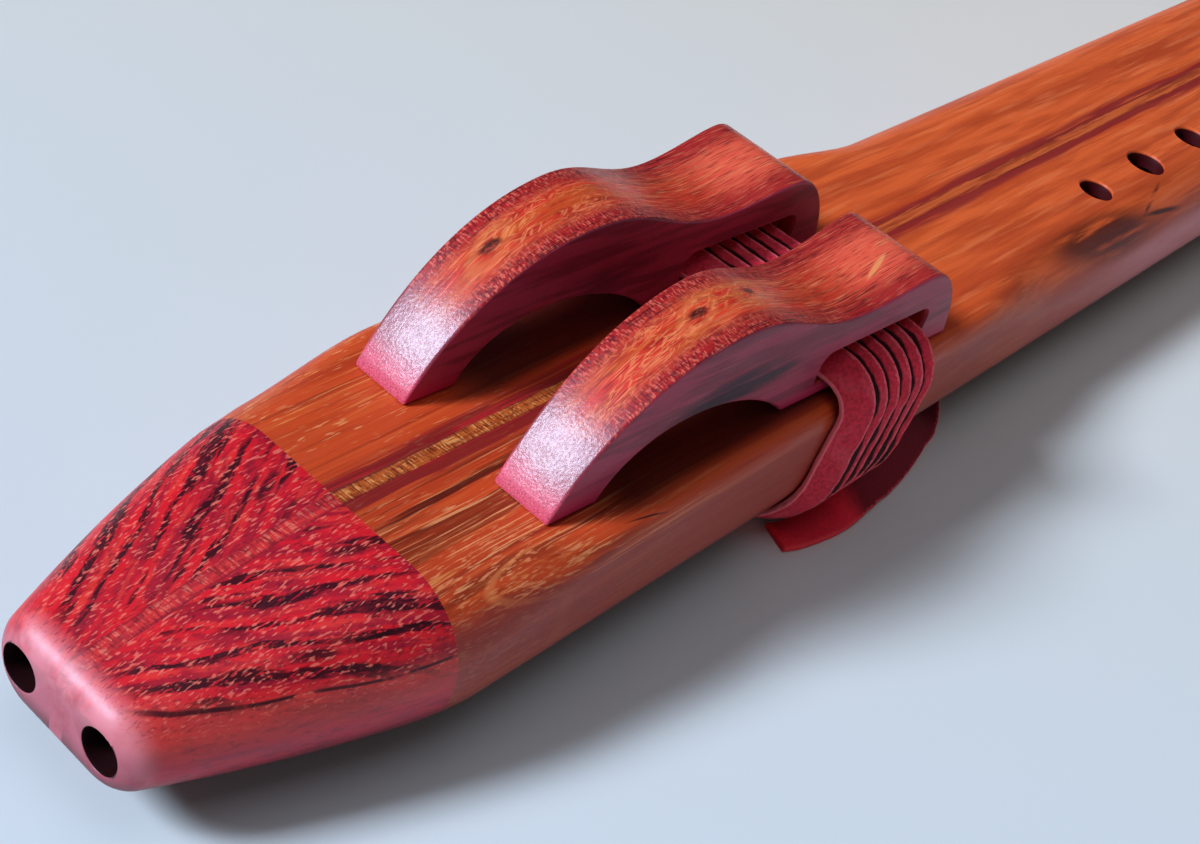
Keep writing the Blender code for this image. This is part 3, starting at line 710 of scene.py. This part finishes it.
def wood(name, ground, layers, bend, roughness, shine, coat, polish):
    """Oiled wood: layers of figure, and of painted shade and reflection, over a ground colour, each kept
    within its own part of the piece.

    The grain sways by the bend in mm. The film of oil covers less over pores, on side faces and in holes.
    """
    made, tree = material(name)
    place = node(tree, "ShaderNodeTexCoord")["Object"]
    sway = vectors(tree, "SUBTRACT", noise(tree, place, (45, 14, 14))["Color"], (0.5,) * 3)[0]
    bent = vectors(tree, "MULTIPLY_ADD", sway, (0.0, bend * MM, bend * MM), place)[0]
    parts = node(tree, "ShaderNodeSeparateXYZ", {0: bent})
    off_middle = maths(tree, "ABSOLUTE", parts["Y"])
    mirrored = node(tree, "ShaderNodeCombineXYZ", {0: parts["X"], 1: off_middle, 2: parts["Z"]})[0]
    off_bird = maths(tree, "ABSOLUTE", maths(tree, "SUBTRACT", off_middle, BORE_Y))
    measures = {"x": parts["X"], "y": parts["Y"], "z": parts["Z"]}
    measures.update({"off_middle": off_middle, "off_bird": off_bird})
    measures["inside"] = marked(tree, "inside")
    measures["side"] = marked(tree, "across")
    measures["across"] = maths(tree, "ABSOLUTE", measures["side"])
    tone, relief = colour(ground), 0.0
    for layer in layers:
        mask = layer["share"]
        if "kind" in layer:
            for row in (layer, *layer.get("broken", ())):
                drawn = figure(tree, mirrored if layer.get("mirrored") else bent, row)
                mask = maths(tree, "MULTIPLY", drawn, mask)
        for measure, start, end in layer["within"]:
            unit = 1.0 if measure in ("inside", "side", "across") else MM
            part = faded(tree, measures[measure], start * unit, end * unit)
            mask = maths(tree, "MULTIPLY", part, mask)
        tone = laid_over(tree, mask, tone, layer["tone"])
        if "relief" in layer:
            relief = maths(tree, "MULTIPLY_ADD", mask, layer["relief"] * MM, relief)
    bump = node(tree, "ShaderNodeBump", {"Height": relief, "Strength": 1.0, "Distance": 1.0})[0]
    # The film follows the open grain. That is about 0.2 mm wide and is drawn 0.6 mm wide, so that it shows
    grain = noise(tree, place, (0.8, 0.6, 0.6))["Fac"]
    open_grain = node(tree, "ShaderNodeBump", {"Height": grain, "Strength": 1.0, "Distance": 0.06 * MM})[0]
    worn = noise(tree, bent, (14, 3, 3))["Fac"]
    rough = ranged(tree, worn, 0.3, 0.7, roughness - ROUGHNESS_SWING, roughness + ROUGHNESS_SWING)
    pores = noise(tree, bent, (1.0, 0.5, 0.5))["Fac"]
    film = ranged(tree, pores, 0.62, 0.42, FILM_OVER_PORES * coat, coat)
    bare = maths(tree, "MAXIMUM", measures["across"], measures["inside"])
    film = maths(tree, "MULTIPLY", film, ranged(tree, bare, 0.95, 0.99, 1.0, FILM_ON_SIDES))
    skin = {"Base Color": tone, "Roughness": rough, "Specular IOR Level": shine, "Normal": bump}
    skin.update({"Coat Weight": film, "Coat Roughness": polish, "Coat Normal": open_grain})
    surface(tree, skin)
    return made


def suede_leather(name, ground, nap_and_shade, cut_edge, mottle):
    """Napped leather: a mottled nap, painted shade where a turn comes out from under the last, pale at a cut
    edge.

    Wraps count their turns from 1 up. The tail runs from 0 to 1, with painted shade until shortly before its
    end.
    """
    made, tree = material(name)
    place = node(tree, "ShaderNodeTexCoord")["Object"]
    across, turn = marked(tree, "across"), marked(tree, "turn")
    # The fibres of a real nap are far finer: tufts are drawn 0.8 mm wide, so that they show
    nap = noise(tree, place, (0.8,) * 3, Detail=6.0)["Fac"]
    worn = noise(tree, place, (6,) * 3)["Fac"]
    height = node(tree, "ShaderNodeSeparateXYZ", {0: place})["Z"]
    closer = maths(tree, "ADD", ranged(tree, height, *TURNS_CLOSE_IN, high=CLOSEST), across)
    ragged = maths(tree, "MULTIPLY_ADD", worn, 0.5, closer)
    torn = maths(tree, "MULTIPLY_ADD", nap, 0.5, across)
    tucked = maths(tree, "GREATER_THAN", turn, FIRST_TURN_ENDS)
    tail_shade = maths(tree, "MULTIPLY", maths(tree, "LESS_THAN", turn, 1.0), 0.85)
    shares = (
        (nap, 0.62, 0.34, nap_and_shade, mottle),
        (worn, 0.5, 0.7, cut_edge, 0.15),
        (ragged, -0.24, -0.1, nap_and_shade, tucked),
        (turn, 0.9, 0.865, nap_and_shade, tail_shade),
        (torn, -0.56, -0.68, cut_edge, 0.6),
        (across, 0.84, 0.95, cut_edge, 0.9),
    )
    tone = colour(ground)
    for value, start, end, layer, share in shares:
        mask = maths(tree, "MULTIPLY", faded(tree, value, start, end), share)
        tone = laid_over(tree, mask, tone, layer)
    bump = node(tree, "ShaderNodeBump", {"Height": nap, "Strength": 0.6, "Distance": 0.4 * MM})[0]
    skin = {"Base Color": tone, "Roughness": 0.85, "Specular IOR Level": 0.25, "Normal": bump}
    skin.update({"Sheen Weight": 0.2, "Sheen Roughness": 0.4, "Sheen Tint": colour("#FF6A74")})
    surface(tree, skin)
    return made


def painted_floor():
    """Matt paint: no reflections, a little bluer near the camera, with a faint mottle."""
    made, tree = material("pale painted floor")
    place = node(tree, "ShaderNodeTexCoord")["Object"]
    depth = vectors(tree, "DOT_PRODUCT", place, (0.866, 0.5, 0.0))["Value"]
    mottle = noise(tree, place, (60,) * 3, Detail=4.0)["Fac"]
    depth = maths(tree, "MULTIPLY_ADD", mottle, 0.05, depth)
    tone = laid_over(tree, ranged(tree, depth, -0.3, 0.2), colour("#D6E2E6"), "#E0DBCD")
    surface(tree, {"Base Color": tone, "Roughness": 0.7, "Specular IOR Level": 0.05})
    return made


# Figure: the layers of each wood, from the ground up, some of them painted shade and painted reflection.
# Sizes are in mm along, across and into the wood, a span is where the pattern's value fades in, and a part is
# a measure with the two values, in mm or as a share, between which a layer fades in. Real pores and rays are
# 0.1 to 0.3 mm wide: they are drawn
# 0.3 to 0.6 mm wide, so that they show.


def tint(tone, share, *parts):
    """A layer that colours parts of a piece evenly."""
    return {"tone": tone, "share": share, "within": parts}


def streaks(tone, share, size, span, *parts, kind="streaks", **more):
    """A layer that draws streaks, or another kind of figure, on parts of a piece."""
    return {"kind": kind, "size": size, "span": span, **tint(tone, share, *parts), **more}


def gaps(size, span, **more):
    """Streaks that break up the layer that names them."""
    return {"kind": "streaks", "size": size, "span": span, **more}


PORES = {"detail": 1.0, "relief": -0.02}
# Painted shade: the walls of holes are drawn nearly black
HOLE_SHADE = tint("#46080E", 1.0, ("inside", 0.0, 1.0))
# Painted shade: the wood darkens towards the bottom of the lower rounded edges
UNDERSIDE_SHADE = tint("#240C0A", 0.8, ("z", 17.5, 11.5))
PATCHY = gaps((26, 7, 7), (0.4, 0.6), at=(9, 5, 2))
LONG_BREAKS = gaps((24, 5, 5), (0.36, 0.5), at=(31, 5, 2), turn=26.6)
SMOKE = gaps((30, 2.4, 2.4), (0.3, 0.6), at=(4, 1, 8))
MOUTHWARD = ("x", -120, -165)
FOOTWARD = ("x", -120, -80)
BIRDWARD = ("x", -80, -120)
NEAR_SIDE = ("y", -20, -26)
NEAR_EYE = {"at": (-168, -31, 36), "turn": -5}
TUBE_FIGURE = [
    tint("#EC6830", 0.85, ("x", -75, -35)),
    streaks("#A42C14", 0.5, (150, 9, 9), (0.46, 0.62)),
    streaks("#E2622A", 0.45, (110, 3.2, 3.2), (0.5, 0.64)),
    streaks("#74180C", 0.45, (120, 1.3, 1.3), (0.54, 0.68), ("x", -40, -110)),
    streaks("#B03C18", 0.5, (44, 4, 4), (0.46, 0.62), FOOTWARD, at=(20, 9, 4)),
    streaks("#F4824A", 0.4, (34, 2, 2), (0.52, 0.68), FOOTWARD, at=(8, 2, 6)),
    streaks("#92280F", 0.3, (30, 0.45, 0.45), (0.5, 0.7)),
    streaks("#EE9650", 0.6, (60, 0.7, 0.7), (0.57, 0.69), MOUTHWARD),
    streaks("#F0A468", 0.6, (4.2, 0.55, 0.55), (0.6, 0.72), MOUTHWARD, broken=[PATCHY], **PORES),
    # Dark and pale lines beside the strip, near the mouth
    streaks("#6A1A0C", 0.6, (80, 3.2, 3.2), (0.48, 0.6), ("y", -6, -9), MOUTHWARD),
    streaks("#420C08", 0.85, (80, 1.7, 1.7), (0.5, 0.6), ("y", -4, -6), ("y", -18, -12), MOUTHWARD,
            at=(0, 3, 0)),
    streaks("#F4A066", 0.75, (40, 0.6, 0.6), (0.56, 0.66), ("y", -4, -7), MOUTHWARD, at=(2, 6, 0)),
    streaks("#EE8E5A", 0.75, (2.8, 0.5, 0.5), (0.56, 0.68), ("y", -17, -23), ("x", -170, -184), **PORES),
    # Red wood along both edges of the strip
    streaks("#7A0E1C", 0.85, (60, 4, 4), (0.22, 0.36), ("off_middle", 5.0, 3.6), BIRDWARD),
    streaks("#8A1C20", 0.9, (60, 2.4, 2.4), (0.26, 0.44), ("off_middle", 5.2, 3.0), FOOTWARD),
    streaks("#C02428", 0.7, (34, 0.9, 0.9), (0.53, 0.64), ("off_middle", 5.6, 4.4), BIRDWARD),
    streaks("#CC4C1E", 0.8, (50, 1.6, 1.6), (0.52, 0.6), ("off_middle", 2.6, 3.6), ("off_middle", 6.0, 5.0)),
    # The eye in the grain and the crack on the near edge
    streaks("#EE8A4C", 0.5, (24, 4, 40), (0.08, 0.02), ("x", -168, -180), kind="ring", **NEAR_EYE),
    streaks("#A83A18", 0.4, (22, 3, 40), (1.0, 0.5), ("x", -165, -180), kind="spot", **NEAR_EYE),
    streaks("#1E0806", 0.9, (7, 0.2, 6), (1.0, 0.3), kind="spot", at=(-155.5, -32, 36), turn=-8),
    # The near side only: painted shade below the top edge, and toward the foot a painted mauve reflection of
    # the pale floor
    tint("#A43C30", 0.8, ("z", 34, 30), NEAR_SIDE, ("x", 0, -40)),
    tint("#AE443C", 0.8, ("z", 31, 26), NEAR_SIDE, ("x", -40, 0)),
    tint("#DC8890", 0.6, ("z", 29, 25), NEAR_SIDE, ("x", 0, 60)),
    # A dark brown patch on the near shoulder, and the two cracks below the finger holes
    streaks("#4C140A", 0.9, (38, 6.5, 9), (1.0, 0.35), kind="spot", at=(26, -28.5, 32.5), turn=-6,
            broken=[dict(SMOKE, span=(0.28, 0.5))]),
    streaks("#180706", 0.9, (13, 0.8, 6), (1.0, 0.3), kind="spot", at=(57, -30.1, 31.5), turn=-7.3),
    streaks("#180706", 0.8, (9, 0.8, 6), (1.0, 0.45), kind="spot", at=(54.5, -26.6, 34.5), turn=18,
            broken=[SMOKE]),
    # Painted shade under and beside the birds, where they shade the body
    tint("#26080A", 0.85, ("off_bird", 14, 10), ("x", -170, -153), ("x", -64, -80), ("z", 34, 36)),
    UNDERSIDE_SHADE,
    HOLE_SHADE,
]
CHEVRON = {"turn": 26.6, "mirrored": True}
BLOTCH = streaks("#24040E", 0.85, (6, 1.5, 7), (1.0, 0.4), kind="spot")
# A painted sheen: pale pink over the front and its rounded edge; below it, painted shade
PAINTED_FRONT_SHEEN = streaks("#EA949C", 0.8, (14, 9, 9), (0.25, 0.55), ("x", -248, -253.5))
FRONT_SHADE = tint("#A44658", 0.7, ("x", -250, -253.5), ("z", 27, 19))
STROKES = gaps((4, 0.6, 0.6), (0.34, 0.46), at=(2, 7, 3), detail=2.0)
CAP_DASHES = streaks("#F07260", 0.75, (2.2, 0.5, 0.5), (0.565, 0.68), ("z", 21, 29), ("x", -253.5, -250),
                     detail=1.0)
CAP_FIGURE = [
    streaks("#86102A", 0.65, (18, 2.6, 2.6), (0.44, 0.6), **CHEVRON),
    streaks("#E83A30", 0.6, (14, 1.6, 1.6), (0.52, 0.66), **CHEVRON),
    # Dark veins that meet in points along the middle
    streaks("#280412", 0.95, (26, 4.4, 8), (0.22, 0.08), ("z", 19, 27), ("x", -252, -245), kind="grain",
            lean=-0.4, drift=2.2, coarse=0.9, rough=0.62, detail=5.0, broken=[LONG_BREAKS, STROKES],
            **CHEVRON),
    dict(BLOTCH, at=(-208, 9.3, 35), turn=26.6, broken=[STROKES]),
    dict(BLOTCH, at=(-206, -10, 35), turn=-26.6, broken=[STROKES]),
    dict(BLOTCH, at=(-223, -21.5, 33), turn=-26.6, broken=[STROKES]),
    # A painted reflection of the pale floor: pinker red low on both sides of the cap
    tint("#B8344A", 0.65, ("z", 26, 18)),
    tint("#DC4A40", 0.6, ("z", 29.5, 26), ("z", 18.5, 23), ("y", -6, -12)),
    PAINTED_FRONT_SHEEN,
    FRONT_SHADE,
    dict(CAP_DASHES, tone="#5A0A20", share=0.5, at=(4, 2, 9)),
    dict(CAP_DASHES, relief=-0.02),
    streaks("#6A1430", 0.4, (30, 1.2, 1.2), (0.5, 0.66), ("z", 25, 21), ("x", -251, -244)),
    # The dark line along the near shoulder
    streaks("#2A0812", 0.9, (5, 4, 4), (0.32, 0.48), ("z", 27.75, 27.45), ("z", 26.95, 27.2), ("y", -8, -12),
            ("x", -253, -247)),
    dict(BLOTCH, size=(11, 0.45, 5), at=(-210.7, -25.1, 32.3), turn=-18.4),
    UNDERSIDE_SHADE,
    dict(HOLE_SHADE, tone="#220609"),
]
BREAST = [("x", -112, -124), ("across", 0.75, 0.5)]
EDGES = [("across", 0.32, 0.8), ("x", -172, -162)]
TAIL_EDGES = [("across", 0.2, 0.55), ("x", -118, -98)]
NEAR_FACE = ("side", -0.95, -0.99)
FAR_FACE = ("side", 0.95, 0.99)
CLUSTERS = gaps((14, 4, 14), (0.4, 0.54), at=(2, 8, 5))
FLECKS = streaks("#F48C54", 0.55, (2.6, 0.6, 3), (0.57, 0.67), *BREAST, broken=[CLUSTERS], **PORES)
RAYS = streaks("#E86A56", 0.75, (0.45, 1.3, 1.3), (0.5, 0.62), *EDGES, ("x", -88, -118), detail=1.0)
NEAR_KNOT = (-136.6, -17.2, 63.7)
SMALL_KNOT = (-119.8, -16.5, 61.7)
FAR_KNOT = (-152.1, 18.6, 58.7)
KNOT = streaks("#2E0A08", 0.9, (3.2, 1.4, 5), (1.0, 0.5), kind="spot")
KNOT_HALO = streaks("#F09050", 0.25, (5.6, 2.4, 9), (0.5, 0.1), kind="ring", turn=20)
KNOT_HEART = streaks("#B04030", 0.7, (1.2, 0.6, 1.2), (0.5, 0.6))
BIRD_FIGURE = [
    streaks("#F0683A", 0.6, (50, 4, 30), (0.46, 0.62)),
    streaks("#9A2416", 0.65, (40, 1.4, 20), (0.54, 0.68)),
    streaks("#F08A56", 0.5, (16, 0.6, 10), (0.56, 0.68)),
    tint("#AA3820", 0.45, ("x", -112, -100), ("x", -80, -92)),
    # Lighter toward the tail: partly the wood's tone, partly a painted highlight where the rising slope
    # catches the window
    tint("#F86A50", 0.6, ("x", -96, -80)),
    tint("#C0241C", 0.4, ("x", -172, -160), ("x", -130, -144)),
    streaks("#6E1610", 0.6, (5, 0.3, 5), (0.55, 0.67), **PORES),
    streaks("#FF9C66", 0.5, (8, 0.35, 6), (0.57, 0.69), at=(5, 4, 1), detail=1.0),
    # Flecks in clusters on the breast
    streaks("#C8581C", 0.6, (22, 3, 20), (0.46, 0.6), *BREAST, at=(6, 3, 9)),
    streaks("#A61C18", 0.7, (9, 1.8, 9), (0.52, 0.64), *BREAST, at=(1, 6, 2)),
    dict(FLECKS, turn=24),
    dict(FLECKS, turn=-20, span=(0.58, 0.68), at=(3, 2, 7)),
    dict(FLECKS, size=(7, 0.4, 5), turn=6, span=(0.58, 0.68), at=(8, 1, 4)),
    # Red edges with rays across them, and long lines at the tail
    tint("#A6161E", 0.85, *EDGES),
    dict(RAYS, relief=-0.02),
    dict(RAYS, tone="#560A18", share=0.7, at=(3, 2, 5)),
    streaks("#3A080C", 0.75, (9, 0.4, 8), (0.58, 0.68), ("across", 0.35, 0.6), ("x", -168, -150)),
    streaks("#5A1014", 0.75, (10, 0.35, 8), (0.54, 0.64), *TAIL_EDGES, at=(7, 1, 3)),
    streaks("#F08460", 0.5, (7, 0.3, 6), (0.56, 0.66), *TAIL_EDGES, at=(1, 5, 2)),
    streaks("#2A060A", 0.9, (14, 0.5, 9), (0.54, 0.62), ("side", -0.74, -0.86), ("x", -152, -144),
            ("x", -112, -120)),
    *(dict(KNOT_HALO, at=at) for at in (NEAR_KNOT, SMALL_KNOT, FAR_KNOT)),
    dict(KNOT, at=NEAR_KNOT),
    dict(KNOT, at=FAR_KNOT),
    dict(KNOT, at=SMALL_KNOT, size=(2, 1.2, 4), share=0.75),
    *(dict(KNOT_HEART, broken=[dict(KNOT, at=at, span=(0.8, 0.5))]) for at in (NEAR_KNOT, FAR_KNOT)),
    dict(KNOT, tone="#FFB46C", share=0.55, size=(6.5, 0.7, 6), at=(-78.5, -20.8, 56), turn=15),
    # The toes, with specks under the shine
    tint("#843644", 0.85, ("x", -161, -168)),
    tint("#E4506A", 0.9, ("x", -160, -168), ("z", 45, 39)),
    streaks("#8E1C34", 0.6, (0.5, 0.35, 0.35), (0.52, 0.64), ("x", -156, -164), detail=1.0),
    # The flat side faces: the near faces carry painted shade with a painted mauve reflection of the pale
    # floor, a dark patch, and a painted red reflection of the body low by the seat
    tint("#A42820", 0.85, FAR_FACE),
    streaks("#5A1612", 0.6, (40, 2.6, 2.6), (0.46, 0.62), FAR_FACE),
    tint("#AC3450", 0.94, NEAR_FACE),
    streaks("#4E1626", 0.5, (40, 2.6, 2.6), (0.46, 0.62), NEAR_FACE),
    streaks("#1E1220", 0.9, (26, 60, 5), (1.0, 0.4), NEAR_FACE, kind="spot", at=(-128, -28, 50),
            broken=[SMOKE]),
    tint("#C4144E", 0.6, NEAR_FACE, ("z", 41, 37.5)),
]
STRIP_TICKS = streaks("#5C1A0C", 0.75, (0.55, 3, 3), (0.5, 0.62), turn=8)
STRIP_WEAVE = gaps((9, 0.5, 0.5), (0.36, 0.56), at=(3, 1, 0))
PALE_TICKS = dict(STRIP_TICKS, at=(7, 3, 1), broken=[STRIP_WEAVE], relief=0.02)
STRIP_SIDES = streaks("#6A101C", 0.85, (12, 0.9, 0.9), (0.34, 0.5), ("off_middle", 0.9, 1.5))
TUBE_STRIP_FIGURE = [
    tint("#D4622E", 0.85, FOOTWARD),
    streaks("#8A2E14", 0.7, (14, 0.9, 0.9), (0.46, 0.6)),
    dict(STRIP_TICKS, within=[MOUTHWARD]),
    dict(PALE_TICKS, tone="#F2A45C", within=[MOUTHWARD]),
    STRIP_SIDES,
    streaks("#9C2C20", 0.5, (40, 0.7, 0.7), (0.46, 0.62), FOOTWARD, at=(6, 2, 0)),
]
CAP_STRIP_FIGURE = [
    streaks("#96122A", 0.6, (10, 0.9, 0.9), (0.44, 0.6)),
    dict(STRIP_TICKS, tone="#5E0A1A", share=0.6),
    dict(PALE_TICKS, tone="#F0806A", share=0.6),
    dict(STRIP_SIDES, tone="#8E1226"),
    PAINTED_FRONT_SHEEN,
    FRONT_SHADE,
]
PLUG_FIGURE = [
    streaks("#7C5630", 0.6, (40, 1.6, 1.6), (0.45, 0.65)),
    streaks("#C49A62", 0.5, (12, 0.6, 0.6), (0.5, 0.7)),
]

# The pieces

satin = {"roughness": 0.46, "shine": 0.25, "coat": 0.2}
# Hardwood rubbed with oil: a thin satin film, so the figure shows at full depth and reflections stay soft
orange_wood = wood("oiled orange hardwood", "#D04A20", TUBE_FIGURE, bend=2.4, polish=0.34, **satin)
# The same finish on a denser wood: dark veins like strokes of a brush, and pores that catch light as dashes
red_wood = wood("oiled red hardwood", "#D81826", CAP_FIGURE, bend=3.0, polish=0.36, **satin)
# Carved and rubbed longer: a fuller, smoother film, so sloping faces carry a clear sheen of the window
rubbed = {"roughness": 0.46, "shine": 0.3, "coat": 0.5}
bird_wood = wood("oiled red-orange hardwood", "#E43620", BIRD_FIGURE, bend=2.0, polish=0.22, **rubbed)
# Strips cut across the rays: short pale and dark ticks over a plain satin ground
orange_strip = wood("figured orange strip", "#BC5A24", TUBE_STRIP_FIGURE, bend=0.4, polish=0.34, **satin)
red_strip = wood("figured red strip", "#D43030", CAP_STRIP_FIGURE, bend=0.4, polish=0.36, **satin)
# Bare wood with no film: matt, pale brown and plain
bare = {"roughness": 0.6, "shine": 0.3, "coat": 0.0}
plug_wood = wood("plain plug wood", "#A07848", PLUG_FIGURE, bend=1.0, polish=0.4, **bare)
# Split leather: a nap with no shine, pale along cut edges, with painted shade nearly black between the turns
suede = suede_leather("crimson suede", "#E43448", nap_and_shade="#2A060C", cut_edge="#FF7C84", mottle=0.3)
# The same lace on the tail: brighter and more even, painted light where light falls on its end
red_leather = suede_leather("bright red suede", "#FF2A40", nap_and_shade="#3A0612", cut_edge="#FF4A50", mottle=0.12)

tree = lace_tree()
tail_points, tail_ways, tail_length = tail_line()
tail_turns = np.linspace(0, 1, len(tail_points))
lacing_tail = sweep_lace("lacing_tail_suede", tree, tail_points, tail_ways, tail_turns, red_leather)
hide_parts("lacing_tail")
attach(lacing_tail, "flute")

wrap_points, wrap_ways, wrap_turns = wrap_line()
lacing_wraps = sweep_lace("lacing_wraps_suede", tree, wrap_points, wrap_ways, wrap_turns, suede)
made = [(lacing_wraps, "lacing_wraps", "flute", "crimson_suede", suede)]
for word, side in (("drone", DRONE), ("melody", MELODY)):
    body, cap = make_body(f"{word}_tube", side), make_cap(f"{word}_lips", side)
    bird = make_bird(f"{word}_bird_carved", side)
    made.append((body, f"{word}_body", "flute", "orange_hardwood", orange_wood))
    made.append((cap, f"{word}_mouth_cap", "flute", "red_hardwood", red_wood))
    made.append((bird, f"{word}_bird", f"{word}_bird", "red_hardwood", bird_wood))
    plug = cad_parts[f"{word}_bore_plug"]
    plug.data.materials.clear()
    plug.data.materials.append(plug_wood)
made.append((make_strip("tube_strip", body_stations()), "body_strip", "flute", "orange_strip", orange_strip))
made.append((make_strip("lips_strip", cap_stations()), "cap_strip", "flute", "red_strip", red_strip))
for piece, cad_node, body, slot, finish in made:
    piece.data.materials.clear()
    piece.data.materials.append(finish)
    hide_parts(cad_node)
    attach(piece, body)

# Floor, light and camera: places in metres

FLOOR_REACH = 3.0
LAMPS_LOOK_AT = (-0.1, 0.0, 0.03)
CAMERA_AT = (-0.3819, -0.1473, 0.2497)
CAMERA_LOOKS = (0.683, 0.394, -0.615)
CAMERA_RIGHT = (0.647, -0.717, 0.258)


def make_floor():
    mesh = bpy.data.meshes.new("floor")
    corners = [(x * FLOOR_REACH, y * FLOOR_REACH, 0.0) for x, y in ((-1, -1), (1, -1), (1, 1), (-1, 1))]
    mesh.from_pydata(corners, [], [(0, 1, 2, 3)])
    floor = add_object("floor", mesh)
    mesh.materials.append(painted_floor())


def area_light(name, way, distance, size, power, text):
    """A rectangular lamp that looks at the flute from this direction."""
    lamp = bpy.data.lights.new(name, "AREA")
    lamp.shape = "RECTANGLE"
    lamp.size, lamp.size_y = size
    lamp.energy = power
    lamp.color = colour(text)[:3]
    held = add_object(name, lamp)
    way = Vector(way).normalized()
    held.location = Vector(LAMPS_LOOK_AT) + way * distance
    held.rotation_euler = way.to_track_quat("Z", "Y").to_euler()
    return held


def make_camera():
    """The photograph's own place and lens."""
    lens = bpy.data.cameras.new("camera")
    lens.sensor_width, lens.lens, lens.clip_start = 36.0, 56.55, 0.01
    camera = add_object("camera", lens)
    forward, right = Vector(CAMERA_LOOKS).normalized(), Vector(CAMERA_RIGHT)
    right = (right - forward * right.dot(forward)).normalized()
    up = right.cross(forward)
    turned = Matrix((right, up, -forward)).transposed().to_4x4()
    camera.matrix_world = Matrix.Translation(CAMERA_AT) @ turned
    bpy.context.scene.camera = camera


make_floor()
# Each lamp: the way to it, its distance, its size, its power and its colour
area_light("window", (-0.65, 0.42, 0.65), 9.0, (2.07, 2.43), 1124.0, "#DCE9FF").visible_glossy = False
area_light("window sill", (-0.77, 0.40, 0.51), 2.6, (1.0, 1.2), 160.0, "#D2E4FF").visible_diffuse = False
area_light("pale wall", (0.66, -0.72, 0.18), 2.0, (2.2, 1.2), 4.0, "#E8E4FF").visible_diffuse = False
area_light("ceiling", (-0.05, -0.1, 1.0), 3.0, (2.0, 2.0), 15.5, "#ECEEFF").visible_glossy = False
area_light("white card", (-0.25, -0.95, 0.16), 2.0, (1.5, 0.5), 2.4, "#F4EAF0").visible_glossy = False
world = bpy.data.worlds.new("room")
bpy.context.scene.world = world
world.use_nodes = True
world.node_tree.nodes["Background"].inputs["Color"].default_value = colour("#E4E0E0")
world.node_tree.nodes["Background"].inputs["Strength"].default_value = 0.08
bpy.context.scene.view_settings.view_transform = "Standard"
make_camera()
